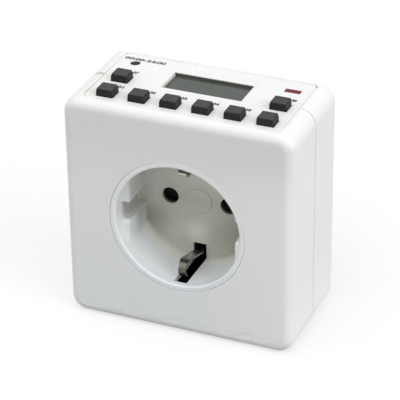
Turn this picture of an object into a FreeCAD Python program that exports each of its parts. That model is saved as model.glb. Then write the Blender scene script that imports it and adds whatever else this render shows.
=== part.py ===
import FreeCAD, Part
import math
import os

os.makedirs("parts", exist_ok=True)
V = FreeCAD.Vector

# Plug-in timer with an earthed outlet in front and its own plug at the back.
# Millimetres. X to the right seen from the front, Y to the rear, Z up.
# The origin is the centre of the base face that the case stands on.

# Case
CASE_WIDTH = 72.5
CASE_HEIGHT = 73.0
CASE_DEPTH = 37.7
CASE_WALL = 2.0
CORNER_RADIUS = 5.0
FRONT_EDGE_RADIUS = 3.0
REAR_EDGE_RADIUS = 3.0
SEAM_DEPTH = 18.9
SEAM_GAP = 0.2
TONGUE_INSET = 0.7
TONGUE_LENGTH = 1.6
TONGUE_CLEARANCE = 0.1
CASE_SCREW_SIDE = 7.75
CASE_SCREW_END = 15.0
CASE_SCREW_RADIUS = 1.4
CASE_SCREW_LENGTH = 13.0
SCREW_HEAD_RADIUS = 2.7
SCREW_HEAD_HEIGHT = 2.0
SCREW_CLEARANCE = 0.08
SCREW_TUNNEL_RADIUS = 3.0
SCREW_TUNNEL_DEPTH = 13.0
SCREW_BOSS_WALL = 0.9
DRIVE_RADIUS = 1.5
DRIVE_WIDTH = 0.6
DRIVE_DEPTH = 0.9
JOINT_SLACK = 0.05

# Outlet in the front face
AXIS_Z = 36.5
PIN_PITCH = 19.0
RECESS_RADIUS = 19.8
RECESS_DEPTH = 17.5
RECESS_WALL = 1.75
RIM_INNER_ROUND = 0.6
RIM_OUTER_ROUND = 0.15
RIM_GAP = 0.1
FLOOR_THICKNESS = 2.0
CONTACT_HOLE_RADIUS = 2.7
SEAT_FLANGE_WIDTH = 2.2
SEAT_FLANGE_THICKNESS = 1.8
RIB_FLAT_X = 17.0
RIB_GAP = 6.2
RIB_SETBACK = 3.8
RIB_NOSE_RADIUS = 1.5
RIB_EDGE_RADIUS = 0.3
EARTH_SLOT_WIDTH = 4.2
EARTH_SLOT_INNER = 14.8
EARTH_SLOT_SETBACK = 2.0
CENTRE_DISC_RADIUS = 4.0
CENTRE_DISC_RISE = 0.2
EAR_X = 27.5
EAR_RADIUS = 2.6
EAR_DEPTH = 6.0
EAR_THICKNESS = 2.0
SMALL_SCREW_RADIUS = 1.1
SMALL_SCREW_LENGTH = 4.6
SMALL_HEAD_RADIUS = 2.1
SMALL_HEAD_HEIGHT = 1.4

# Child-safety shutter behind the outlet floor
PIVOT_RADIUS = 1.5
PIVOT_CLEARANCE = 0.05
SHUTTER_GAP = 0.25
SHUTTER_THICKNESS = 2.5
SHUTTER_HUB_RADIUS = 4.2
SHUTTER_WIDTH = 6.4
SHUTTER_REACH = 12.8
SHUTTER_RAMP = 0.9
SPRING_WIRE_RADIUS = 0.2
SPRING_RADIUS = 3.6
SPRING_TURNS = 2.25
SPRING_PITCH = 0.5

# Contacts and their carrier
CARRIER_RADIUS = 15.5
CARRIER_RING = 2.0
CARRIER_PLATE = 2.3
CARRIER_HOLE_RADIUS = 3.0
CARRIER_SCREW_X = 18.3
CARRIER_EAR_RADIUS = 2.7
WELL_WALL = 1.0
WELL_LENGTH = 6.5
SPRING_POCKET_RADIUS = 5.0
SPRING_POCKET_DEPTH = 1.7
SLEEVE_RADIUS = 2.45
SLEEVE_WALL = 1.1
SLEEVE_LENGTH = 11.7
SLEEVE_END = 0.8
SLEEVE_SLOT = 1.2
SLEEVE_CLEARANCE = 0.3
TAIL_WIDTH = 3.0
TAIL_THICKNESS = 0.8

# Earth clips, bridge and plug earth strip
CLIP_WIDTH = 3.0
CLIP_THICKNESS = 0.6
CLIP_ROOT_Z = 17.3
CLIP_ROOT_LENGTH = 7.2
CLIP_CURL_Z = 16.7
CLIP_CURL_RADIUS = 2.4
CLIP_CURL_TURNS = (135.0, 180.0, 225.0)
CLIP_END = 1.3
CLIP_END_ROUND = 1.0
CLIP_NOSE_WIDTH = 2.3
CLIP_TAPER = 3.2
CLIP_LOWER_DEPTH = 5.9
CLIP_UPPER_DEPTH = 7.3
BRIDGE_WIDTH = 4.0
BRIDGE_THICKNESS = 0.8
BRIDGE_CLEARANCE = 0.3
BRIDGE_BEND = 1.0
POST_RADIUS = 1.6
STRIP_WIDTH = 4.0
STRIP_THICKNESS = 0.8
STRIP_Z = 17.55
STRIP_CLEARANCE = 0.15
STRIP_LENGTH = 14.0

# Plug at the back
PLUG_RADIUS = 18.9
PLUG_LENGTH = 17.0
PLUG_FLAT_X = 16.6
PLUG_RIDGE = 5.4
PLUG_CAVITY_RADIUS = 14.9
PLUG_END_THICKNESS = 3.0
PLUG_EDGE_RADIUS = 1.0
PLUG_NOTCH_WIDTH = 5.0
PIN_RADIUS = 2.4
PIN_LENGTH = 19.0
PIN_TIP_RADIUS = 1.6
PIN_COLLAR_RADIUS = 2.9
PIN_SHANK = 5.0

# Control panel in the top
PANEL_CENTRE_X = 0.2
PANEL_SIDE = 5.25
PANEL_FRONT = 2.65
PANEL_BACK = 3.0
PANEL_THICKNESS = 1.8
PANEL_SUNK = 0.12
PANEL_GAP = 0.1
PANEL_FRONT_RADIUS = 3.0
PANEL_REAR_RADIUS = 1.8
OPENING_REAR_RADIUS = 1.2
PANEL_EDGE_ROUND = 0.15
LEDGE_WIDTH = 1.3
LEDGE_THICKNESS = 1.3
WINDOW_X = 1.0
WINDOW_DEPTH = 22.6
WINDOW_WIDTH = 24.6
WINDOW_LENGTH = 9.85
WINDOW_BORDER_SIDE = 1.1
WINDOW_BORDER_REAR = 2.7
WINDOW_BORDER_FRONT = 0.8
WINDOW_BORDER_DEPTH = 0.12
WINDOW_POCKET = 1.2

# Keys: six in the front row and one behind each end of it
KEY_WIDTH = 5.15
KEY_DEPTH = 4.5
KEY_RISE = 2.4
KEY_SHOULDER = 1.6
KEY_TOP_WIDTH = 4.65
KEY_ROUND = 0.2
KEY_GAP = 0.2
KEY_TRAVEL = 0.8
KEY_STOP_GAP = 0.2
KEY_FLANGE = 0.7
KEY_FLANGE_THICKNESS = 1.0
FRONT_KEY_COUNT = 6
FRONT_KEY_END = 5.9
FRONT_KEY_DEPTH = 7.45
KEY_ROW_X = 0.55
REAR_KEY_DEPTH = 17.75
RESET_X = -25.3
RESET_DEPTH = 29.1
RESET_HOLE_RADIUS = 1.6
RESET_GAP = 0.15
RESET_SUNK = 0.2
RESET_FLANGE_RADIUS = 2.3

# Control board under the panel
BOARD_THICKNESS = 1.6
CONTROL_BOARD_DROP = 3.75
CONTROL_BOARD_MARGIN = 1.5
MAT_THICKNESS = 1.0
DOME_GAP = 0.3
DOME_FOOT_RADIUS = 2.2
DOME_TOP_RADIUS = 1.5
MAT_MARGIN = 1.6
PANEL_POST_RADIUS = 2.0
PANEL_POST_LEFT_X = -18.9
PANEL_POST_RIGHT_X = 20.6
PANEL_POST_FRONT = 12.7
PANEL_POST_BACK = 3.5
BOARD_SCREW_RADIUS = 0.8
BOARD_SCREW_LENGTH = 4.0
BOARD_HEAD_RADIUS = 1.5
BOARD_HEAD_HEIGHT = 1.0
GLASS_WIDTH = 30.0
GLASS_LENGTH = 14.0
GLASS_THICKNESS = 1.8
FRAME_WALL = 0.7
FRAME_LIP = 0.35
FRAME_TOP = 0.3
FRAME_SUNK = 0.3
FRAME_CLEARANCE = 0.1
CONNECTOR_STRIP_WIDTH = 2.0
LENS_X = 25.5
LENS_DEPTH = 28.55
LENS_WIDTH = 4.9
LENS_LENGTH = 2.15
LENS_GAP = 0.05
LENS_FLANGE = 0.6
LED_RADIUS = 1.0
BATTERY_RADIUS = 5.8
BATTERY_HEIGHT = 5.4
BATTERY_X = -12.5
BATTERY_GAP = 0.6
CHIP_SIZE = 9.0
CHIP_HEIGHT = 1.6
CRYSTAL_RADIUS = 1.0
CRYSTAL_LENGTH = 6.0

# Power board along the base
POWER_BOARD_Z = 4.0
POWER_BOARD_SIDE = 10.25
POWER_BOARD_FRONT = 4.0
POWER_BOARD_BACK = 2.7
BOARD_REST_WIDTH = 3.0
RELAY_X = -15.0
RELAY_BACK = 10.2
RELAY_WIDTH = 19.0
RELAY_LENGTH = 15.0
RELAY_HEIGHT = 15.4
RELAY_WALL = 0.8
RELAY_BASE = 1.5
COIL_RADIUS = 4.3
COIL_HEIGHT = 10.0
CORE_RADIUS = 1.6
COIL_INSET = 3.0
COIL_FLANGE = 0.6
ARMATURE_THICKNESS = 0.8
ARMATURE_WIDTH = 8.0
ARMATURE_SWING = 9.0
ARMATURE_END_GAP = 1.0
CONTACT_RADIUS = 1.2
CONTACT_HEIGHT = 0.6
CONTACT_INSET = 0.4
CONTACT_REST_GAP = 0.1
DROPPER_X = 19.8
DROPPER_DEPTH = 14.0
DROPPER_WIDTH = 8.5
DROPPER_LENGTH = 18.0
DROPPER_HEIGHT = 14.5
DROPPER_CORNER = 0.5
SMOOTHING_X = 9.6
SMOOTHING_DEPTH = 24.5
SMOOTHING_RADIUS = 3.6
SMOOTHING_HEIGHT = 11.5
SMOOTHING_ROUND = 0.45
VARISTOR_X = 0.0
VARISTOR_DEPTH = 10.0
VARISTOR_RADIUS = 3.5
VARISTOR_THICKNESS = 3.6
RECTIFIER_X = -17.0
RECTIFIER_DEPTH = 10.0
RECTIFIER_SIZE = 8.0
RECTIFIER_HEIGHT = 3.2
WIRE_RADIUS = 0.9
WIRE_BEND = 3.0
LEAD_DROP = 5.0
LINE_OUT_X = 15.0
LINE_OUT_BACK = 7.2
NEUTRAL_X = -4.2
NEUTRAL_BACK = 6.7
LINE_IN_X = 5.5
LINE_IN_SAG_X = 5.9
LINE_IN_BACK = 7.4
LINE_IN_RUN = 5.5
LINE_IN_SAG = 8.0
LINE_IN_PASS = 9.5
LINE_IN_WALL_GAP = 4.0
RIBBON_X = 20.0
RIBBON_WIDTH = 7.0
RIBBON_THICKNESS = 0.7
RIBBON_BACK = 3.9
RIBBON_TOP_BACK = 10.2
RIBBON_BEND = 3.0
RIBBON_REACH = 14.0

# Places worked out from the sizes above
CASE_SCREW_X = CASE_WIDTH / 2 - CASE_SCREW_SIDE
PANEL_WIDTH = CASE_WIDTH - 2 * PANEL_SIDE
PANEL_REAR = CASE_DEPTH - PANEL_BACK
FRONT_KEY_PITCH = (PANEL_WIDTH - 2 * FRONT_KEY_END) / (FRONT_KEY_COUNT - 1)
POWER_BOARD_WIDTH = CASE_WIDTH - 2 * POWER_BOARD_SIDE
POWER_BOARD_REAR = CASE_DEPTH - POWER_BOARD_BACK
FRONT = -CASE_DEPTH / 2
REAR = CASE_DEPTH / 2
SEAM = FRONT + SEAM_DEPTH
RIM_RADIUS = RECESS_RADIUS + RECESS_WALL
RECESS_FLOOR = FRONT + RECESS_DEPTH
FLOOR_BACK = RECESS_FLOOR + FLOOR_THICKNESS
FLANGE_RADIUS = RIM_RADIUS + SEAT_FLANGE_WIDTH
SEAT = FRONT + CASE_WALL
EAR_FRONT = FRONT + EAR_DEPTH
SHUTTER_FRONT = FLOOR_BACK + SHUTTER_GAP
SHUTTER_BACK = SHUTTER_FRONT + SHUTTER_THICKNESS
CARRIER_FRONT = SHUTTER_BACK + SHUTTER_GAP
CARRIER_BACK = CARRIER_FRONT + CARRIER_PLATE
SLEEVE_FRONT = CARRIER_BACK + SLEEVE_CLEARANCE
SLEEVE_BACK = SLEEVE_FRONT + SLEEVE_LENGTH
BRIDGE_FRONT = CARRIER_BACK + JOINT_SLACK
STRIP_WEB_BACK = REAR - CASE_WALL - BRIDGE_CLEARANCE
PLUG_FACE = REAR + PLUG_LENGTH
PANEL_TOP = CASE_HEIGHT - PANEL_SUNK
PANEL_BOTTOM = PANEL_TOP - PANEL_THICKNESS
LEDGE_TOP = PANEL_BOTTOM - JOINT_SLACK
CONTROL_BOARD_TOP = PANEL_BOTTOM - CONTROL_BOARD_DROP
CONTROL_BOARD_BOTTOM = CONTROL_BOARD_TOP - BOARD_THICKNESS
MAT_TOP = CONTROL_BOARD_TOP + MAT_THICKNESS
KEY_FLANGE_TOP = PANEL_BOTTOM - KEY_STOP_GAP
KEY_BOTTOM = KEY_FLANGE_TOP - KEY_FLANGE_THICKNESS
WINDOW_ROOF = PANEL_BOTTOM + WINDOW_POCKET
GLASS_TOP = WINDOW_ROOF - FRAME_CLEARANCE - FRAME_TOP
GLASS_BOTTOM = GLASS_TOP - GLASS_THICKNESS
POWER_BOARD_TOP = POWER_BOARD_Z + BOARD_THICKNESS
COIL_X = RELAY_X - RELAY_WIDTH / 2 + RELAY_WALL + COIL_INSET + COIL_RADIUS
RELAY_Y = REAR - RELAY_BACK
RELAY_FLOOR = POWER_BOARD_TOP + RELAY_BASE
COIL_TOP = RELAY_FLOOR + COIL_HEIGHT
HINGE_X = COIL_X - COIL_RADIUS - JOINT_SLACK
YOKE_X = HINGE_X - ARMATURE_THICKNESS
ARMATURE_END_X = RELAY_X + RELAY_WIDTH / 2 - RELAY_WALL - ARMATURE_END_GAP
CONTACT_X = ARMATURE_END_X - CONTACT_RADIUS - CONTACT_INSET
SWING_SLOPE = math.sin(math.radians(ARMATURE_SWING))
ARMATURE_BOTTOM = COIL_TOP + (COIL_X + CORE_RADIUS - HINGE_X) * SWING_SLOPE + CONTACT_REST_GAP
CONTACT_TRAVEL = (CONTACT_X + CONTACT_RADIUS - HINGE_X) * SWING_SLOPE + CONTACT_REST_GAP
FRONT_KEY_XS = [KEY_ROW_X + (i - (FRONT_KEY_COUNT - 1) / 2) * FRONT_KEY_PITCH for i in range(FRONT_KEY_COUNT)]
CASE_SCREWS = [
    (x, z)
    for x in (-CASE_SCREW_X, CASE_SCREW_X)
    for z in (CASE_SCREW_END, CASE_HEIGHT - CASE_SCREW_END)
]
PANEL_POSTS = [
    (x, FRONT + depth)
    for x in (PANEL_POST_LEFT_X, PANEL_POST_RIGHT_X)
    for depth in (PANEL_POST_FRONT, PANEL_REAR - PANEL_POST_BACK)
]


def block(x0, x1, y0, y1, z0, z1):
    return Part.makeBox(x1 - x0, y1 - y0, z1 - z0, V(x0, y0, z0))


def rod_y(x, z, radius, y0, y1):
    return Part.makeCylinder(radius, y1 - y0, V(x, y0, z), V(0, 1, 0))


def rod_z(x, y, radius, z0, z1):
    return Part.makeCylinder(radius, z1 - z0, V(x, y, z0), V(0, 0, 1))


def rounded_wire(points, radii):
    """Closed wire through the corner points, each corner rounded by its own radius."""
    corners = []
    for i, (corner, radius) in enumerate(zip(points, radii)):
        back = (points[i - 1] - corner).normalize()
        ahead = (points[(i + 1) % len(points)] - corner).normalize()
        if radius <= 0:
            corners.append((corner, corner, corner))
            continue
        half = back.getAngle(ahead) / 2
        reach = radius / math.tan(half)
        middle = (back + ahead).normalize() * (radius / math.sin(half) - radius)
        corners.append((corner + back * reach, corner + middle, corner + ahead * reach))
    edges = []
    for i, (start, middle, end) in enumerate(corners):
        if start != end:
            edges.append(Part.Arc(start, middle, end).toShape())
        following = corners[(i + 1) % len(corners)][0]
        if end.distanceToPoint(following) > 1e-6:
            edges.append(Part.LineSegment(end, following).toShape())
    return Part.Wire(edges)


def prism(points, radii, along):
    return Part.Face(rounded_wire(points, radii)).extrude(along)


def bar_y(x0, x1, z0, z1, y0, y1, radius):
    """Bar along Y whose section is a rectangle with rounded corners."""
    points = [V(x0, y0, z0), V(x1, y0, z0), V(x1, y0, z1), V(x0, y0, z1)]
    return prism(points, [radius] * 4, V(0, y1 - y0, 0))


def plate_z(x0, x1, y0, y1, z0, z1, front_radius, rear_radius):
    """Level plate with rounded front and rear corners."""
    points = [V(x0, y0, z0), V(x1, y0, z0), V(x1, y1, z0), V(x0, y1, z0)]
    radii = [front_radius, front_radius, rear_radius, rear_radius]
    return prism(points, radii, V(0, 0, z1 - z0))


def strip_x(points, bends, thickness, width):
    """Bent metal strip, centred on X, that follows points given as (y, z)."""
    path = [V(-width / 2, y, z) for y, z in points]
    left, right = [], []
    left_radii, right_radii = [], []
    for i, point in enumerate(path):
        runs = []
        if i > 0:
            runs.append((point - path[i - 1]).normalize())
        if i < len(path) - 1:
            runs.append((path[i + 1] - point).normalize())
        normals = [V(0, -run.z, run.y) for run in runs]
        if len(normals) == 1:
            shift = normals[0] * (thickness / 2)
            inner = outer = 0
        else:
            shift = (normals[0] + normals[1]) * (thickness / 2 / (1 + normals[0].dot(normals[1])))
            turn = runs[0].cross(runs[1]).x
            outer = bends[i - 1] + math.copysign(thickness / 2, -turn)
            inner = bends[i - 1] + math.copysign(thickness / 2, turn)
        left.append(point + shift)
        right.append(point - shift)
        left_radii.append(outer)
        right_radii.append(inner)
    return prism(left + right[::-1], left_radii + right_radii[::-1], V(width, 0, 0))


def tube(points, bend, radius):
    """Round lead along straight runs joined by tangent arcs."""
    points = [V(*point) for point in points]
    edges = []
    start = points[0]
    for i in range(1, len(points) - 1):
        back = (points[i - 1] - points[i]).normalize()
        ahead = (points[i + 1] - points[i]).normalize()
        half = back.getAngle(ahead) / 2
        reach = bend / math.tan(half)
        middle = (back + ahead).normalize() * (bend / math.sin(half) - bend)
        arc_start = points[i] + back * reach
        arc_end = points[i] + ahead * reach
        edges.append(Part.LineSegment(start, arc_start).toShape())
        edges.append(Part.Arc(arc_start, points[i] + middle, arc_end).toShape())
        start = arc_end
    edges.append(Part.LineSegment(start, points[-1]).toShape())
    circle = Part.makeCircle(radius, points[0], points[1] - points[0])
    return Part.Wire(edges).makePipeShell([Part.Wire([circle])], True, False)


def screw_y(x, z, seat, direction, radius, length, head_radius, head_height):
    """Cross-head screw along Y: its head stands on seat, its shank runs in direction."""
    shank = Part.makeCylinder(radius, length, V(x, seat, z), V(0, direction, 0))
    head = Part.makeCylinder(head_radius, head_height, V(x, seat, z), V(0, -direction, 0))
    head = head.makeFillet(head_height / 3, [edge for edge in head.Edges if far_end(edge, seat, head_height)])
    outer = seat - direction * head_height
    low, high = sorted((outer, outer + direction * DRIVE_DEPTH))
    cross = block(x - DRIVE_RADIUS, x + DRIVE_RADIUS, low, high, z - DRIVE_WIDTH / 2, z + DRIVE_WIDTH / 2)
    upright = block(x - DRIVE_WIDTH / 2, x + DRIVE_WIDTH / 2, low, high, z - DRIVE_RADIUS, z + DRIVE_RADIUS)
    return shank.fuse(head).cut(cross).cut(upright).removeSplitter()


def far_end(edge, seat, height):
    return all(abs(abs(vertex.Y - seat) - height) < 1e-6 for vertex in edge.Vertexes)


def edges_at(shape, test):
    return [edge for edge in shape.Edges if all(test(vertex) for vertex in edge.Vertexes)]


def mirror_z(shape):
    """Mirror a shape about the level plane through the outlet's axis."""
    return shape.mirror(V(0, 0, AXIS_Z), V(0, 0, 1))


def save(name, shape):
    shape.exportStep(f"parts/{name}.step")
    print(f"{name}: {len(shape.Solids)} solid(s), {shape.Volume:.1f} mm3, valid {shape.isValid()}")


def case_block(inset, front_radius, rear_radius):
    """The whole case as one rounded block, drawn in by inset on every side."""
    half = CASE_WIDTH / 2 - inset
    y0, y1 = FRONT + inset, REAR - inset
    shape = bar_y(-half, half, inset, CASE_HEIGHT - inset, y0, y1, CORNER_RADIUS - inset)
    shape = shape.makeFillet(front_radius, edges_at(shape, lambda v: abs(v.Y - y0) < 1e-6))
    return shape.makeFillet(rear_radius, edges_at(shape, lambda v: abs(v.Y - y1) < 1e-6))


def case_shell():
    front_radius = max(FRONT_EDGE_RADIUS - CASE_WALL, CASE_WALL / 4)
    rear_radius = max(REAR_EDGE_RADIUS - CASE_WALL, CASE_WALL / 4)
    outside = case_block(0, FRONT_EDGE_RADIUS, REAR_EDGE_RADIUS)
    return outside.cut(case_block(CASE_WALL, front_radius, rear_radius))


def panel_plate(margin, z0, z1, rear_radius):
    """Level plate of the control panel's outline, grown by margin."""
    x0 = PANEL_CENTRE_X - PANEL_WIDTH / 2 - margin
    x1 = PANEL_CENTRE_X + PANEL_WIDTH / 2 + margin
    front_radius = PANEL_FRONT_RADIUS + margin
    y0, y1 = FRONT + PANEL_FRONT - margin, FRONT + PANEL_REAR + margin
    return plate_z(x0, x1, y0, y1, z0, z1, front_radius, rear_radius)


def panel_ledge():
    """Rim under the panel's edge that carries the panel, inside both shells."""
    bottom = LEDGE_TOP - LEDGE_THICKNESS
    roof = CASE_HEIGHT - CASE_WALL + JOINT_SLACK
    outer = panel_plate(PANEL_GAP + LEDGE_WIDTH, bottom, roof, PANEL_REAR_RADIUS)
    inner = panel_plate(PANEL_GAP - LEDGE_WIDTH, bottom, CASE_HEIGHT, PANEL_REAR_RADIUS)
    inside = case_block(CASE_WALL / 2, FRONT_EDGE_RADIUS / 2, REAR_EDGE_RADIUS / 2)
    return outer.cut(inner).common(inside)


def cut_panel_opening(body):
    """Cut the panel's seat and the opening inside its ledge."""
    seat = panel_plate(PANEL_GAP, LEDGE_TOP, CASE_HEIGHT + PANEL_THICKNESS, OPENING_REAR_RADIUS)
    below = LEDGE_TOP - 2 * LEDGE_THICKNESS
    opening = panel_plate(PANEL_GAP - LEDGE_WIDTH, below, CASE_HEIGHT, PANEL_REAR_RADIUS)
    return body.cut([seat, opening])


def seam_ring(outer_inset, inner_inset, length):
    """Ring of the case's section at the seam, between two depths in its wall."""
    y0, y1 = SEAM - CASE_WALL, SEAM + length
    sections = []
    for depth in (outer_inset, inner_inset):
        half = CASE_WIDTH / 2 - depth
        sections.append(bar_y(-half, half, depth, CASE_HEIGHT - depth, y0, y1, CORNER_RADIUS - depth))
    return sections[0].cut(sections[1])


def board_rests(y0, y1):
    """Two ribs on the base wall that carry the power board between y0 and y1."""
    centre = POWER_BOARD_WIDTH / 2 - BOARD_REST_WIDTH
    rests = []
    for x in (-centre, centre):
        half = BOARD_REST_WIDTH / 2
        rests.append(block(x - half, x + half, y0, y1, CASE_WALL / 2, POWER_BOARD_Z))
    return rests


def front_housing():
    body = case_shell().fuse(panel_ledge())
    keep = block(-CASE_WIDTH, CASE_WIDTH, FRONT, SEAM - SEAM_GAP / 2, 0, CASE_HEIGHT)
    body = body.common(keep).fuse(seam_ring(TONGUE_INSET, CASE_WALL, TONGUE_LENGTH))
    for x, z in CASE_SCREWS:
        boss = rod_y(x, z, SCREW_TUNNEL_RADIUS + SCREW_BOSS_WALL, SEAT - CASE_WALL / 2, SEAM - SEAM_GAP / 2)
        web_end = math.copysign(CASE_WIDTH / 2 - CASE_WALL / 2, x)
        x0, x1 = sorted((x, web_end))
        web = block(x0, x1, SEAT, SEAM - SEAM_GAP / 2, z - CASE_WALL / 2, z + CASE_WALL / 2)
        pilot = rod_y(x, z, CASE_SCREW_RADIUS + SCREW_CLEARANCE, SEAT, SEAM)
        body = body.fuse([boss, web]).cut(pilot)
    for x in (-EAR_X, EAR_X):
        post = rod_y(x, AXIS_Z, EAR_RADIUS, SEAT - CASE_WALL / 2, EAR_FRONT - JOINT_SLACK)
        pilot = rod_y(x, AXIS_Z, SMALL_SCREW_RADIUS + SCREW_CLEARANCE, SEAT - CASE_WALL / 4, EAR_FRONT)
        body = body.fuse(post).cut(pilot)
    body = body.fuse(board_rests(SEAT - CASE_WALL / 2, FRONT + POWER_BOARD_FRONT + BOARD_REST_WIDTH))
    body = cut_panel_opening(body)
    body = body.cut(rod_y(0, AXIS_Z, RIM_RADIUS + RIM_GAP, FRONT, SEAT))
    return body.removeSplitter()


def plug_section(y0, y1):
    """Round plug body with flats for the outlet's guide ribs and a ridge between them."""
    body = rod_y(0, AXIS_Z, PLUG_RADIUS, y0, y1)
    flats = block(-PLUG_FLAT_X, PLUG_FLAT_X, y0, y1, AXIS_Z - PLUG_RADIUS, AXIS_Z + PLUG_RADIUS)
    ridge = block(-PLUG_RADIUS, PLUG_RADIUS, y0, y1, AXIS_Z - PLUG_RIDGE / 2, AXIS_Z + PLUG_RIDGE / 2)
    return body.common(flats.fuse(ridge)).removeSplitter()


def rear_housing():
    body = case_shell().fuse(panel_ledge())
    body = body.common(block(-CASE_WIDTH, CASE_WIDTH, SEAM + SEAM_GAP / 2, REAR, 0, CASE_HEIGHT))
    room = TONGUE_CLEARANCE
    body = body.cut(seam_ring(TONGUE_INSET - room, CASE_WALL + room, TONGUE_LENGTH + room))
    plug = plug_section(REAR - CASE_WALL / 2, PLUG_FACE)
    plug = plug.makeFillet(PLUG_EDGE_RADIUS, edges_at(plug, lambda v: abs(v.Y - PLUG_FACE) < 1e-6))
    body = body.fuse(plug)
    cavity_end = PLUG_FACE - PLUG_END_THICKNESS
    body = body.cut(rod_y(0, AXIS_Z, PLUG_CAVITY_RADIUS, REAR - CASE_WALL, cavity_end))
    for side in (-1, 1):
        body = body.cut(rod_y(side * PIN_PITCH / 2, AXIS_Z, PIN_COLLAR_RADIUS, cavity_end, PLUG_FACE))
    notch_floor = STRIP_Z - STRIP_THICKNESS / 2 - STRIP_CLEARANCE
    notch_end = REAR + STRIP_LENGTH + STRIP_CLEARANCE
    half = PLUG_NOTCH_WIDTH / 2
    notch = block(-half, half, REAR, notch_end, AXIS_Z + notch_floor, AXIS_Z + PLUG_RADIUS)
    slot_half = STRIP_WIDTH / 2 + STRIP_CLEARANCE
    slot_top = AXIS_Z + STRIP_Z + STRIP_THICKNESS / 2 + STRIP_CLEARANCE
    slot = block(-slot_half, slot_half, REAR - CASE_WALL, REAR, AXIS_Z + notch_floor, slot_top)
    for opening in (notch, slot):
        body = body.cut([opening, mirror_z(opening)])
    for x, z in CASE_SCREWS:
        boss = rod_y(x, z, SCREW_TUNNEL_RADIUS + SCREW_BOSS_WALL, SEAM + SEAM_GAP / 2, REAR - CASE_WALL / 2)
        tunnel = rod_y(x, z, SCREW_TUNNEL_RADIUS, REAR - SCREW_TUNNEL_DEPTH, REAR)
        hole = rod_y(x, z, CASE_SCREW_RADIUS + SCREW_CLEARANCE, SEAM, REAR)
        body = body.fuse(boss).cut([tunnel, hole])
    body = body.fuse(board_rests(FRONT + POWER_BOARD_REAR - BOARD_REST_WIDTH, REAR - CASE_WALL / 2))
    body = cut_panel_opening(body)
    return body.removeSplitter()


def case_screws():
    seat = REAR - SCREW_TUNNEL_DEPTH + JOINT_SLACK
    sizes = (CASE_SCREW_RADIUS, CASE_SCREW_LENGTH, SCREW_HEAD_RADIUS, SCREW_HEAD_HEIGHT)
    return Part.makeCompound([screw_y(x, z, seat, -1, *sizes) for x, z in CASE_SCREWS])


def guide_rib(side, level, nose_radius):
    """Block on the recess wall with a flat inner face and a front face set back."""
    z_gap = AXIS_Z + level * RIB_GAP / 2
    z_end = AXIS_Z + level * RECESS_RADIUS
    y0, y1 = FRONT + RIB_SETBACK, RECESS_FLOOR + FLOOR_THICKNESS / 2
    x0 = side * RIB_FLAT_X
    points = [V(x0, y0, z_gap), V(x0, y1, z_gap), V(x0, y1, z_end), V(x0, y0, z_end)]
    rib = prism(points, [nose_radius, 0, 0, 0], V(side * (RIM_RADIUS - RIB_FLAT_X), 0, 0))
    return rib.common(rod_y(0, AXIS_Z, RECESS_RADIUS + RECESS_WALL / 2, y0, y1))


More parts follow.
